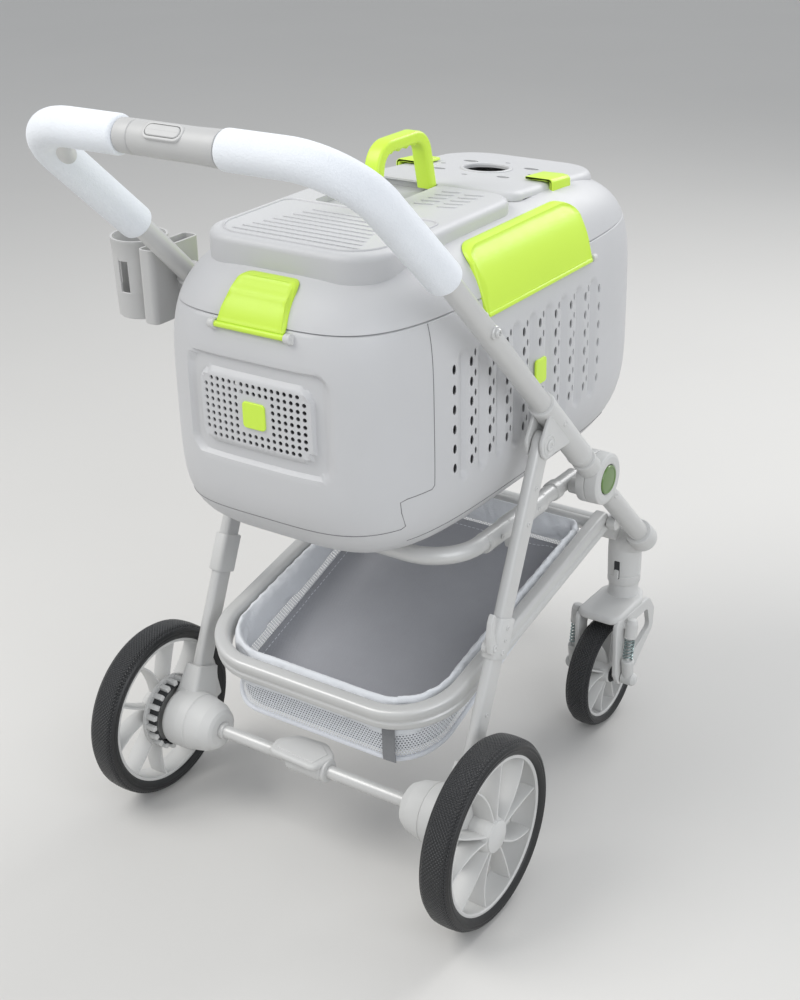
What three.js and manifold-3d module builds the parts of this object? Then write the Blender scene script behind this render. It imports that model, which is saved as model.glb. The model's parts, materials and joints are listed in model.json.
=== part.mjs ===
// Pet stroller: a folding frame on four wheels that carries a lift-off pet carrier with a hard lid.
// Millimetres. +X is the pusher's right, +Y the way it travels and +Z up. Sizes are written from the
// rear axle (y = 0) and the ground (z = 0). The last lines move the origin to the bottom centre.
import * as THREE from 'three';
import { mergeVertices } from 'three/addons/utils/BufferGeometryUtils.js';
import Module from 'manifold-3d';

const wasm = await Module();
wasm.setup();

// ---- driving dimensions ----
const gap = 0.4;                    // air between two touching pieces
const tubeSides = 8;
const wheelSides = 20;

const rearWheelRadius = 120;
const rearWheelWidth = 40;
const rearTrack = 258;              // centre plane of a rear wheel, from the middle
const rearRimRadius = 101;

const frontWheelRadius = 80.5;
const frontWheelWidth = 34;
const frontTrack = 174;             // centre plane of a front wheel
const frontRimRadius = 67;
const frontWheelY = 458;
const casterY = 520;                // upright axis that a front wheel swivels about
const casterHousingRadius = 23.5;
const casterHousingTop = 262;
const casterHousingBottom = 200;
const stemRadius = 21.5;
const crownTop = 182;               // top of the fork's crown
const crownThickness = 12;
const forkPlateOffset = 30;         // middle of a fork plate, from the wheel's centre plane
const forkPlateThickness = 6;
const shockOffset = 43;             // axis of a shock absorber, from the wheel's centre plane
const shockRadius = 9;
const shockTop = 174;
const shockSpringTop = 145;
const shockSpringBottom = 114;
const suspensionTravel = 10;

const halfWidth = 212;              // centre plane of a side tube of the upper frame
const tubeRadius = 13;
const hubY = 351;                   // fold joint
const hubZ = 438;
const hubRadius = 34.5;
const hubInnerX = 196;              // inner face of the fold joint
const hubSplitX = 211;              // plane where its two halves meet
const hubOuterX = 229;
const hubNeckLength = 58;
const hubButtonRadius = 19.5;
const gripStartY = 10;              // where a side tube bends and its grip begins
const gripStartZ = 787;
const crossbarY = -163;
const crossbarZ = 949;
const handleCornerRadius = 112;
const gripRadius = 21;
const gripEndX = 66;                // inner end of a grip on the crossbar
const centreCoverRadius = 18;

const legX = 213;                   // centre plane of a rear leg
const legWidth = 30;
const legThickness = 15;
const legPivotY = 200;              // pivot of a rear leg under the upper tube
const legPivotZ = 541;
const legFootY = 28;                // where a rear leg enters its hub housing
const legFootZ = 152;
const legBracketStart = 70;         // sleeve on the upper tube, measured from the fold joint
const legBracketLength = 145;
const legBracketRadius = 16;

const axleRadius = 8.5;
const spindleRadius = 6;
const brakeRingRadius = 50;
const brakeWebX = 240;               // plane where the toothed ring's web begins
const housingInnerX = 149;
const housingOuterX = 231;
const housingRadius = 40;

const frontLegX = 205;
const frontLegRadius = 14;
const collarY = 515;                // foot of a front leg, in the collar on the caster housing
const collarZ = 276;
const beamY = 505;
const beamZ = 287;
const beamRadius = 13;

const seatArmX = 163;               // centre of a carrier arm
const seatArmRadius = 11;
const seatArmZ = 417.5;
const seatRearY = 80;
const seatCornerRadius = 62;

const railX = 178;                  // centre plane of the basket rail's side
const railThickness = 20;
const railHeight = 30;
const railPivotY = 436;             // pivot of the rail on the front leg
const railPivotZ = 332;
const railRearY = -1;               // middle of the rail's rear crossbar
const railRearZ = 233;
const railCornerRadius = 80;
const basketWall = 3;
const basketRearDepth = 76;         // below the rail's middle, at the back
const basketFrontDepth = 40;
const basketFloorThickness = 3;

const carrierY = 259;               // middle of the carrier
const carrierZ = 606;               // height of its widest line
const carrierHalfLength = 331;
const carrierHalfWidth = 177.5;
const carrierRise = 192;
const carrierDrop = 175.5;
const carrierPlanPower = 4.2;
const carrierTopPower = 4.5;
const carrierBottomPower = 4.3;
const carrierWall = 3.5;
const partingZ = 732;
const platformTop = 807;            // raised panels on the lid
const platformHalfWidth = 124;
const platformRearY = -12;
const platformFrontY = 297;
const hatchHalfWidth = 112;
const hatchRearY = 300;
const hatchFrontY = 548;
const hatchDrop = 20;               // how much lower the hatch's front edge is than its rear edge
const hatchHoleRadius = 29;
const hatchHoleY = 425;
const carryHandleY = 226;
const carryHandleLength = 134;
const carryHandleTop = 880;
const carryHandleWidth = 22;
const carryHandleThickness = 15;
const handleFootDepth = 2;          // how far its feet stand below the lid's raised panel
const recessLength = 78;            // sideways reach of the recess that it folds down over
const recessDepth = 8.8;
const latchThickness = 5;

const cupY = 74;
const cupX = -287;
const cupRadius = 36;
const cupTop = 757;
const cupHeight = 100;
const cupWall = 2.5;
const pocketThickness = 20;
const pocketLength = 88;

// ---- materials ----
const material = (color, roughness, metalness = 0) =>
  new THREE.MeshStandardMaterial({ color, roughness, metalness });
const paintedTube = material(0xc9c9c6, 0.38, 0.35);
const greyPlastic = material(0xc6c6c4, 0.55);
const carrierPlastic = material(0xcfcfd0, 0.5);
const limePlastic = material(0xc8ea5a, 0.45);
const greenPlastic = material(0x5f8a35, 0.35);
const whiteFoam = material(0xe9edf0, 0.95);
const tyreRubber = material(0x1b1c1d, 0.85);
const whiteFabric = material(0xe8ebee, 0.9);
const greyFabric = material(0x8f9196, 0.85);
const springSteel = material(0x9aa5a3, 0.3, 0.9);

// ---- solids ----
const at = (x, y, z) => new THREE.Vector3(x, y, z);
const xAxis = at(1, 0, 0);
const yAxis = at(0, 1, 0);

// A closed geometry as a solid, with its faces turned outwards.
function solid(geometry) {
  const bare = geometry.clone();
  bare.deleteAttribute('normal');
  bare.deleteAttribute('uv');
  const merged = mergeVertices(bare, 1e-3);
  const corners = merged.index.array;
  const whole = [];
  for (let i = 0; i < corners.length; i += 3) {
    const [a, b, c] = [corners[i], corners[i + 1], corners[i + 2]];
    if (a !== b && b !== c && c !== a) whole.push(a, b, c);
  }
  const vertProperties = new Float32Array(merged.attributes.position.array);
  const build = (list) =>
    new wasm.Manifold(new wasm.Mesh({ numProp: 3, vertProperties, triVerts: new Uint32Array(list) }));
  const made = build(whole);
  return made.volume() < 0 ? build(whole.reverse()) : made;
}

const join = (...solids) => solids.reduce((whole, next) => whole.add(next));
const cut = (whole, ...tools) => tools.reduce((left, tool) => left.subtract(tool), whole);

function geometryOf(shape) {
  const mesh = shape.getMesh();
  const geometry = new THREE.BufferGeometry();
  geometry.setAttribute('position', new THREE.BufferAttribute(mesh.vertProperties, 3));
  geometry.setIndex(new THREE.BufferAttribute(mesh.triVerts, 1));
  geometry.computeVertexNormals();
  return geometry;
}

// A straight round bar between two points, which may taper. A thin one has fewer sides.
function rod(from, to, radius, endRadius = radius, sides = radius < 8 ? 6 : tubeSides) {
  const along = to.clone().sub(from);
  const geometry = new THREE.CylinderGeometry(endRadius, radius, along.length(), sides);
  geometry.applyQuaternion(new THREE.Quaternion().setFromUnitVectors(yAxis, along.clone().normalize()));
  const middle = from.clone().add(to).multiplyScalar(0.5);
  return solid(geometry.translate(middle.x, middle.y, middle.z));
}

// The room for a round bar: its flats clear the bar's own radius by the gap.
function bore(from, to, radius, sides = tubeSides) {
  const clear = (radius + gap) / Math.cos(Math.PI / sides);
  return rod(from, to, clear, clear, sides);
}

function block(x0, x1, y0, y1, z0, z1) {
  const geometry = new THREE.BoxGeometry(x1 - x0, y1 - y0, z1 - z0);
  return solid(geometry.translate((x0 + x1) / 2, (y0 + y1) / 2, (z0 + z1) / 2));
}

// A closed outline through corners [a, b], each rounded by the same radius where it fits.
function roundedOutline(corners, radius) {
  const shape = new THREE.Shape();
  const points = corners.map(([a, b]) => new THREE.Vector2(a, b));
  points.forEach((corner, i) => {
    const before = points[(i + points.length - 1) % points.length];
    const after = points[(i + 1) % points.length];
    const reach = Math.min(radius, corner.distanceTo(before) * 0.45, corner.distanceTo(after) * 0.45);
    const enter = corner.clone().add(before.clone().sub(corner).setLength(reach));
    const leave = corner.clone().add(after.clone().sub(corner).setLength(reach));
    if (i === 0) shape.moveTo(enter.x, enter.y);
    else shape.lineTo(enter.x, enter.y);
    shape.quadraticCurveTo(corner.x, corner.y, leave.x, leave.y);
  });
  shape.closePath();
  return shape;
}

const rectangle = (a0, a1, b0, b1, radius) =>
  roundedOutline([[a0, b0], [a1, b0], [a1, b1], [a0, b1]], radius);

// A flat plate: an outline in y and z, between two x planes.
function sidePlate(shape, x0, x1, curveSegments = 2) {
  const geometry = new THREE.ExtrudeGeometry(shape, { depth: x1 - x0, bevelEnabled: false, curveSegments });
  const turn = new THREE.Matrix4().makeBasis(at(0, 1, 0), at(0, 0, 1), at(1, 0, 0));
  return solid(geometry.applyMatrix4(turn).translate(x0, 0, 0));
}

// A level plate: an outline in x and y, between two heights.
function levelPlate(shape, z0, z1, curveSegments = 3) {
  const geometry = new THREE.ExtrudeGeometry(shape, { depth: z1 - z0, bevelEnabled: false, curveSegments });
  return solid(geometry.translate(0, 0, z0));
}

// A route through chosen points, taken one by one, so that straight runs need no extra steps.
class Route extends THREE.Curve {
  constructor(points) {
    super();
    this.points = points;
  }
  getPoint(t, target = new THREE.Vector3()) {
    const place = t * (this.points.length - 1);
    const i = Math.min(Math.floor(place), this.points.length - 2);
    return target.lerpVectors(this.points[i], this.points[i + 1], place - i);
  }
  getPointAt(u, target) {
    return this.getPoint(u, target);
  }
  getTangentAt(u, target) {
    return this.getTangent(u, target);
  }
}

// The points of a bent bar: each inner corner becomes an arc of the given radius.
function bentPoints(corners, radius, steps = 5) {
  const points = [corners[0]];
  for (let i = 1; i < corners.length - 1; i += 1) {
    const back = corners[i - 1].clone().sub(corners[i]).normalize();
    const ahead = corners[i + 1].clone().sub(corners[i]).normalize();
    const half = back.angleTo(ahead) / 2;
    const bend = Math.PI - 2 * half;
    if (bend < 0.2) {
      points.push(corners[i]);
      continue;
    }
    const centre = corners[i].clone().add(back.clone().add(ahead).setLength(radius / Math.sin(half)));
    const start = corners[i].clone().addScaledVector(back, radius / Math.tan(half)).sub(centre);
    const axis = new THREE.Vector3().crossVectors(ahead, back).normalize();
    for (let k = 0; k <= steps; k += 1) {
      points.push(start.clone().applyAxisAngle(axis, (bend * k) / steps).add(centre));
    }
  }
  points.push(corners.at(-1));
  return points;
}

function circleShape(radius, sides = tubeSides) {
  const corners = Array.from({ length: sides }, (_, i) => {
    const angle = (2 * Math.PI * i) / sides;
    return new THREE.Vector2(radius * Math.cos(angle), radius * Math.sin(angle));
  });
  return new THREE.Shape(corners);
}

function sweep(shape, points) {
  const options = { steps: points.length - 1, curveSegments: 2, extrudePath: new Route(points) };
  return solid(new THREE.ExtrudeGeometry(shape, options));
}

const bentTube = (points, radius, sides = tubeSides) => sweep(circleShape(radius, sides), points);

// A turned piece about an x axis. The profile holds [radius, x] pairs and closes on itself or the axis.
function turned(profile, segments, x, y, z, startAngle = 0) {
  const points = profile.map(([r, along]) => new THREE.Vector2(r, along));
  const geometry = new THREE.LatheGeometry(points, segments, startAngle);
  return solid(geometry.rotateZ(-Math.PI / 2).translate(x, y, z));
}

// The carrier's outer form, a box with all its edges softly rounded, grown or shrunk by an offset.
function carrierForm(offset, rise = carrierRise) {
  const geometry = new THREE.SphereGeometry(1, 28, 16).rotateX(Math.PI / 2);
  const position = geometry.attributes.position;
  const power = (value, exponent) => Math.sign(value) * Math.abs(value) ** exponent;
  for (let i = 0; i < position.count; i += 1) {
    const [x, y, z] = [position.getX(i), position.getY(i), position.getZ(i)];
    const level = Math.min(Math.hypot(x, y), 1);
    const upright = z > 0 ? carrierTopPower : carrierBottomPower;
    const spread = level < 1e-6 ? 0 : level ** (2 / upright);
    const plan = 2 / carrierPlanPower;
    position.setXYZ(
      i,
      level < 1e-6 ? 0 : (carrierHalfWidth + offset) * spread * power(x / level, plan),
      (level < 1e-6 ? 0 : (carrierHalfLength + offset) * spread * power(y / level, plan)) + carrierY,
      power(z, 2 / upright) * ((z > 0 ? rise : carrierDrop) + offset) + carrierZ,
    );
  }
  return solid(geometry);
}

// ---- the object's tree of groups ----
const object = new THREE.Group();

function add(name, shape, look) {
  const mesh = new THREE.Mesh(geometryOf(shape), look);
  mesh.name = name;
  object.add(mesh);
}

const sides = [['right', 1], ['left', -1]];
const hub = (x) => at(x, hubY, hubZ);

// Unit directions in a side view: up the handle's side tube, and down the front leg.
const upTube = at(0, gripStartY - hubY, gripStartZ - hubZ).normalize();
const downLeg = at(0, collarY - hubY, collarZ - hubZ).normalize();
const alongTube = (x, distance) => hub(x).addScaledVector(upTube, distance);
const alongFrontLeg = (x, distance) => hub(x).addScaledVector(downLeg, distance);

// A disc of the fold joint between two x planes.
const hubDisc = (side, x0, x1, radius) => rod(hub(side * x0), hub(side * x1), radius, radius, 16);

// ---- front frame: fold joint bases, front legs, caster housings, beam and carrier arms ----
const collarLength = 30;
const frontLegLength = Math.hypot(collarY - hubY, collarZ - hubZ);
const legSocketEnd = 46;            // end of the socket on the fold joint's base

function frontLeg(side) {
  const x = side * frontLegX;
  const disc = hubDisc(side, hubInnerX, hubSplitX - gap, hubRadius);
  const socket = cut(
    rod(alongFrontLeg(x, 10), alongFrontLeg(x, legSocketEnd), frontLegRadius + 2.5),
    hubDisc(side, hubSplitX - gap, hubOuterX + 9, hubRadius + 1),
  );
  const armBoss = rod(at(side * (seatArmX + seatArmRadius + gap), hubY, seatArmZ),
    at(side * (hubInnerX + 2), hubY, seatArmZ), 10);
  const tube = rod(alongFrontLeg(x, legSocketEnd - 4), alongFrontLeg(x, frontLegLength - gap), frontLegRadius);
  return join(disc, socket, armBoss, tube);
}

// The pin that the rail turns on, standing inwards from the front leg.
function railPin(side) {
  const legHere = at(side * frontLegX, railPivotY + 8, railPivotZ + 10);
  const lug = rod(at(side * (railX + railThickness / 2 + gap), railPivotY, railPivotZ),
    at(side * (frontLegX - 4), railPivotY, railPivotZ), 9);
  const web = rod(at(side * (frontLegX - 5), railPivotY, railPivotZ), legHere, 9);
  return join(lug, web);
}

function casterHousing(side) {
  const x = side * frontTrack;
  const collarEnd = frontLegLength + 5;
  const collar = rod(alongFrontLeg(side * frontLegX, frontLegLength - collarLength),
    alongFrontLeg(side * frontLegX, collarEnd), frontLegRadius + 5.5);
  const legRoom = bore(alongFrontLeg(side * frontLegX, frontLegLength - collarLength - 40),
    alongFrontLeg(side * frontLegX, frontLegLength), frontLegRadius);
  const barrel = rod(at(x, casterY, casterHousingBottom), at(x, casterY, casterHousingTop),
    casterHousingRadius, casterHousingRadius + 1, 14);
  const shoulder = rod(at(x, casterY, casterHousingTop - 1), at(x, casterY - 8, casterHousingTop + 18),
    casterHousingRadius + 1, 15, 14);
  const beamSocket = rod(at(x, beamY, beamZ), at(side * (frontTrack - 44), beamY, beamZ), beamRadius + 4);
  const beamRoom = bore(at(side * (frontTrack - 18), beamY, beamZ), at(side * (frontTrack - 50), beamY, beamZ),
    beamRadius);
  const stemRoom = bore(at(x, casterY, casterHousingBottom - 5), at(x, casterY, casterHousingBottom + 35), 10);
  const lockSlot = block(x - 4, x + 4, casterY - casterHousingRadius - 5, casterY - casterHousingRadius + 6,
    casterHousingBottom + 12, casterHousingBottom + 40);
  return cut(join(collar, barrel, shoulder, beamSocket), legRoom, beamRoom, stemRoom, lockSlot);
}

// The slider that locks a caster straight, in its slot.
function swivelLock(side) {
  const x = side * frontTrack;
  const face = casterY - casterHousingRadius;
  return block(x - 4 + gap, x + 4 - gap, face - 4, face + 5, casterHousingBottom + 13,
    casterHousingBottom + 27);
}

for (const [name, side] of sides) {
  add(`front_leg_${name}`, join(frontLeg(side), railPin(side)), paintedTube);
  add(`caster_housing_${name}`, casterHousing(side), greyPlastic);
  add(`swivel_lock_${name}`, swivelLock(side), greyPlastic);
}

const beamEnd = frontTrack - 18 - gap;
add('front_beam', rod(at(-beamEnd, beamY, beamZ), at(beamEnd, beamY, beamZ), beamRadius), paintedTube);

// The U tube under the carrier, with a moulded dock on each arm.
function seatFrame() {
  const front = hubY + 26;
  const corners = [at(seatArmX, front, seatArmZ), at(seatArmX, seatRearY, seatArmZ),
    at(-seatArmX, seatRearY, seatArmZ), at(-seatArmX, front, seatArmZ)];
  const docks = sides.map(([, side]) => {
    const x = side * seatArmX;
    const sleeve = rod(at(x, 195, seatArmZ - 3), at(x, 290, seatArmZ - 3), seatArmRadius + 3);
    const hook = rod(at(x, 205, seatArmZ - 12), at(x, 232, seatArmZ - 30), 6);
    return join(sleeve, hook);
  });
  const headroom = block(-seatArmX - 30, seatArmX + 30, 150, 330, carrierZ - carrierDrop - gap, carrierZ);
  return cut(join(bentTube(bentPoints(corners, seatCornerRadius), seatArmRadius), ...docks), headroom);
}
add('seat_frame', seatFrame(), paintedTube);

// ---- front wheels ----
// The side view of a fork plate, an open triangle that a shock absorber stands in front of.
const forkOutline = () => roundedOutline([[frontWheelY - 22, crownTop - 4], [casterY + 20, crownTop - 10],
  [casterY + 37, crownTop - 34], [casterY + 34, crownTop - 66], [frontWheelY + 30, frontWheelRadius - 12],
  [frontWheelY - 8, frontWheelRadius - 12], [frontWheelY - 20, frontWheelRadius + 10]], 12);
const forkWindow = () => roundedOutline([[frontWheelY + 4, crownTop - 26], [casterY + 14, crownTop - 26],
  [casterY + 22, crownTop - 58], [frontWheelY + 18, frontWheelRadius + 18], [frontWheelY + 4, frontWheelRadius + 22]], 8);

const shockFoot = at(0, frontWheelY - 4, shockSpringBottom);
const shockHead = at(0, frontWheelY + 7, shockTop);
const onShock = (x, z) => {
  const share = (z - shockFoot.z) / (shockHead.z - shockFoot.z);
  return at(x, shockFoot.y + share * (shockHead.y - shockFoot.y), z);
};

function casterFork(side) {
  const x = side * frontTrack;
  const plates = [-1, 1].map((way) => {
    const middle = x + way * forkPlateOffset;
    const plate = sidePlate(forkOutline(), middle - forkPlateThickness / 2, middle + forkPlateThickness / 2);
    const window = sidePlate(forkWindow(), middle - forkPlateThickness, middle + forkPlateThickness);
    const shockX = x + way * shockOffset;
    const cap = rod(onShock(shockX, shockSpringTop), onShock(shockX, shockTop), shockRadius, shockRadius - 1);
    const capLink = rod(onShock(middle, shockTop - 12), onShock(shockX, shockTop - 12), 7);
    return join(cut(plate, window), cap, capLink);
  });
  const crown = levelPlate(rectangle(x - forkPlateOffset - 4, x + forkPlateOffset + 4, frontWheelY - 24,
    casterY + 26, 16), crownTop - crownThickness, crownTop);
  const wheelRoom = rod(at(x - 24, frontWheelY, frontWheelRadius), at(x + 24, frontWheelY, frontWheelRadius),
    frontWheelRadius + suspensionTravel + 3, frontWheelRadius + suspensionTravel + 3, wheelSides);
  const stem = rod(at(x, casterY, crownTop - 4), at(x, casterY, casterHousingBottom - gap), stemRadius,
    stemRadius, 14);
  const pin = rod(at(x, casterY, casterHousingBottom - 2), at(x, casterY, casterHousingBottom + 30), 10);
  const axleSlots = bore(at(x - 36, frontWheelY, frontWheelRadius), at(x + 36, frontWheelY, frontWheelRadius), 5, 6);
  const rise = suspensionTravel + 6;
  const lean = (rise * (shockHead.y - shockFoot.y)) / (shockHead.z - shockFoot.z);
  const slotAbove = sidePlate(roundedOutline([[frontWheelY - 6.5, frontWheelRadius],
    [frontWheelY + 6.5, frontWheelRadius], [frontWheelY + 6.5 + lean, frontWheelRadius + rise],
    [frontWheelY - 6.5 + lean, frontWheelRadius + rise]], 1), x - 36, x + 36);
  const guides = [-1, 1].map((way) =>
    bore(onShock(x + way * shockOffset, shockSpringTop - 2), onShock(x + way * shockOffset, shockTop - 4), 4, 6));
  return cut(join(...plates, crown, stem, pin), wheelRoom, axleSlots, slotAbove, ...guides);
}

// The axle of a front wheel with the two lower cups that slide on the shock absorbers' rods.
function frontAxle(side) {
  const x = side * frontTrack;
  const axle = rod(at(x - shockOffset - 12, frontWheelY, frontWheelRadius),
    at(x + shockOffset + 12, frontWheelY, frontWheelRadius), 5);
  const cups = [-1, 1].map((way) => {
    const cupAxis = x + way * shockOffset;
    const cup = rod(at(cupAxis, frontWheelY, frontWheelRadius - 3), onShock(cupAxis, shockSpringBottom),
      shockRadius - 1.5, shockRadius);
    const guide = rod(onShock(cupAxis, shockSpringBottom - 2), onShock(cupAxis, shockTop - suspensionTravel - 7), 4);
    const nut = rod(at(cupAxis - 8.5, frontWheelY, frontWheelRadius), at(cupAxis + 8.5, frontWheelY,
      frontWheelRadius), 9.5);
    return join(cup, guide, nut);
  });
  return join(axle, ...cups);
}

function coilSpring(x) {
  const turns = 3;
  const stepsPerTurn = 7;
  const points = [];
  for (let i = 0; i <= turns * stepsPerTurn; i += 1) {
    const angle = (2 * Math.PI * i) / stepsPerTurn;
    const z = THREE.MathUtils.lerp(shockSpringBottom + 2, shockSpringTop - 2, i / (turns * stepsPerTurn));
    points.push(onShock(x, z).add(at(6.8 * Math.cos(angle), 6.8 * Math.sin(angle), 0)));
  }
  return bentTube(points, 1.4, 4);
}

// A wheel's tyre: a crowned tread on rounded shoulders, from the rim out. One flat of its many-sided
// round is the lowest part, at the full radius, so that a wheel rests on the ground without rocking.
const flatShare = 1 / Math.cos(Math.PI / wheelSides);
const halfTurn = Math.PI / wheelSides;

function tyre(radius, width, rimRadius, x, y) {
  const half = width / 2;
  const depth = radius - rimRadius;
  const profile = [[rimRadius, -half * 0.72], [rimRadius + depth * 0.5, -half],
    [radius - depth * 0.1, -half * 0.72], [radius, -half * 0.3], [radius, half * 0.3],
    [radius - depth * 0.1, half * 0.72], [rimRadius + depth * 0.5, half], [rimRadius, half * 0.72],
    [rimRadius, -half * 0.72]].map(([r, along]) => [r * flatShare, along]);
  return turned(profile, wheelSides, x, y, radius, halfTurn);
}

// A spoked rim: outer ring, pairs of blades and a bored hub that is closed on its outer side.
function rim(wheel) {
  const { side, radius, rimRadius, x, y, core, hubHalf, axle, pairs, width, capped } = wheel;
  const half = width / 2;
  const seat = rimRadius - gap;
  const profile = [[seat, -half], [seat, half], [seat - 6, half], [seat - 6, -half], [seat, -half]]
    .map(([r, along]) => [r * flatShare, along]);
  const ring = turned(profile, wheelSides, x, y, radius, halfTurn);
  const middle = rod(at(x - hubHalf, y, radius), at(x + hubHalf, y, radius), core, core, 12);
  const blades = [];
  for (let i = 0; i < pairs; i += 1) {
    for (const lean of [-0.2, 0.2]) {
      const angle = (2 * Math.PI * i) / pairs + lean;
      const spin = new THREE.Matrix4().makeRotationX(angle - lean * 2.2);
      const shift = new THREE.Matrix4().makeTranslation(x, y + Math.cos(angle) * core * 0.8,
        radius + Math.sin(angle) * core * 0.8);
      const length = seat - 5 - core * 0.72;
      const blade = new THREE.BoxGeometry(width * 0.72, length, 3.2).translate(0, length / 2, 0);
      blades.push(solid(blade.applyMatrix4(spin).applyMatrix4(shift)));
    }
  }
  const inner = x - side * (hubHalf + 1);
  const outer = x + side * (capped ? hubHalf - 3 : hubHalf + 1);
  return cut(join(ring, middle, ...blades), bore(at(inner, y, radius), at(outer, y, radius), axle, 8));
}

for (const [name, side] of sides) {
  const x = side * frontTrack;
  add(`caster_fork_${name}`, casterFork(side), greyPlastic);
  add(`front_axle_${name}`, frontAxle(side), greyPlastic);
  add(`shock_spring_${name}_outer`, coilSpring(x + side * shockOffset), springSteel);
  add(`shock_spring_${name}_inner`, coilSpring(x - side * shockOffset), springSteel);
  add(`front_tyre_${name}`, tyre(frontWheelRadius, frontWheelWidth, frontRimRadius, x, frontWheelY), tyreRubber);
  add(`front_rim_${name}`, rim({ side, radius: frontWheelRadius, rimRadius: frontRimRadius, x,
    y: frontWheelY, core: 15, hubHalf: 20, axle: 5, pairs: 5, width: 24, capped: false }),
  greyPlastic);
}

// ---- rear legs, housings, axle, brake pedal and wheels ----
const legUp = at(0, legPivotY - legFootY, legPivotZ - legFootZ).normalize();
const legAcross = new THREE.Vector3().crossVectors(xAxis, legUp);
const onLeg = (x, z) => {
  const share = (z - legFootZ) / (legPivotZ - legFootZ);
  return at(x, legFootY + share * (legPivotY - legFootY), z);
};

// A flat oval bar along the rear leg between two heights, grown by a margin.
function legBar(side, z0, z1, margin = 0) {
  const [wide, thin] = [legWidth + 2 * margin, legThickness + 2 * margin];
  const length = onLeg(0, z0).distanceTo(onLeg(0, z1));
  const geometry = new THREE.ExtrudeGeometry(rectangle(-thin / 2, thin / 2, -wide / 2, wide / 2, thin * 0.45),
    { depth: length, bevelEnabled: false, curveSegments: 2 });
  const start = onLeg(side * legX, z0);
  const basis = new THREE.Matrix4().makeBasis(xAxis, legAcross.clone().negate(), legUp).setPosition(start);
  return solid(geometry.applyMatrix4(basis));
}

const railSlope = (railPivotZ - railRearZ) / (railPivotY - railRearY);
const onRail = (x, y) => at(x, y, railRearZ + railSlope * (y - railRearY));
const latchZ = 322;                 // middle of the fold lock on a rear leg
const hookStandoff = legWidth / 2 + 9;

function rearLeg(side) {
  const bracket = legBar(side, latchZ - 20, latchZ + 22, 2.5);
  const lug = onLeg(side * legX, latchZ - 8).addScaledVector(legAcross, hookStandoff);
  const ear = rod(at(side * (legX - 3), lug.y, lug.z), at(side * (legX + 3), lug.y, lug.z), 8);
  const top = rod(at(side * (legX - legThickness / 2), legPivotY, legPivotZ),
    at(side * (legX + legThickness / 2), legPivotY, legPivotZ), legWidth / 2);
  const leg = join(legBar(side, legFootZ + gap, legPivotZ), top, bracket);
  return side > 0 ? join(leg, ear) : leg;
}

const hookPivot = onLeg(0, latchZ - 8).addScaledVector(legAcross, hookStandoff);

// The hook that locks the frame open, on the rear side of the right leg.
function foldLockHook() {
  const { y, z } = hookPivot;
  const shape = roundedOutline([[y - 8, z - 7], [y + 1, z - 6], [y + 3, z + 6], [y + 1, z + 24],
    [y + 4, z + 42], [y - 2, z + 46], [y - 10, z + 20]], 4);
  return sidePlate(shape, legX + 3 + gap, legX + 11 + gap);
}
add('fold_lock_hook', foldLockHook(), greyPlastic);

function hubHousing(side) {
  const x = (value) => side * value;
  const body = turned([[0, housingInnerX], [24, housingInnerX], [30, housingInnerX + 4],
    [36, housingInnerX + 20], [housingRadius, housingInnerX + 46], [housingRadius, housingOuterX - 14],
    [36, housingOuterX - 6], [0, housingOuterX - 6]].map(([r, along]) => [r, x(along)]), 24, 0, 0, rearWheelRadius);
  const socket = legBar(side, rearWheelRadius + 14, legFootZ + 30, 5);
  const legRoom = legBar(side, legFootZ, legFootZ + 60, gap);
  const axleRoom = bore(at(x(housingInnerX - 5), 0, rearWheelRadius), at(x(housingInnerX + 40), 0, rearWheelRadius),
    axleRadius);
  const spindle = rod(at(x(housingOuterX - 10), 0, rearWheelRadius),
    at(x(rearTrack + 13), 0, rearWheelRadius), spindleRadius, spindleRadius, 8);
  return join(cut(join(body, socket), legRoom, axleRoom), spindle);
}

// The toothed ring on a rear wheel's inner side that the brake locks into.
function brakeRing(side) {
  const teeth = 12;
  const [root, tip] = [brakeRingRadius - 4, brakeRingRadius];
  const corners = [];
  for (let i = 0; i < teeth * 4; i += 1) {
    const angle = (2 * Math.PI * (i - (i % 2 ? 0.3 : 0))) / (teeth * 4);
    const radius = i % 4 < 2 ? tip : root;
    corners.push(new THREE.Vector2(radius * Math.cos(angle), rearWheelRadius + radius * Math.sin(angle)));
  }
  const outline = new THREE.Shape(corners);
  const web = rod(at(brakeWebX * side, 0, rearWheelRadius), at((brakeWebX + 6) * side, 0, rearWheelRadius), root,
    root, 12);
  const ring = sidePlate(outline, Math.min(brakeWebX * side, (brakeWebX - 14) * side),
    Math.max(brakeWebX * side, (brakeWebX - 14) * side));
  const [near, middle] = [at((brakeWebX - 15) * side, 0, rearWheelRadius), at(brakeWebX * side, 0, rearWheelRadius)];
  return cut(join(web, cut(ring, rod(near, middle, root - 5, root - 5, 12))),
    bore(near, at((brakeWebX + 7) * side, 0, rearWheelRadius), spindleRadius, 8));
}

function brakePedal() {
  const z = rearWheelRadius;
  const sleeve = rod(at(-30, 0, z), at(26, 0, z), axleRadius + 6);
  const outline = roundedOutline([[-56, -20], [20, -24], [26, 14], [4, 30], [-40, 26], [-58, 6]], 9);
  const tread = levelPlate(outline, z + axleRadius + 2, z + axleRadius + 9);
  return cut(join(sleeve, tread), bore(at(-90, 0, z), at(90, 0, z), axleRadius));
}

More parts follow.
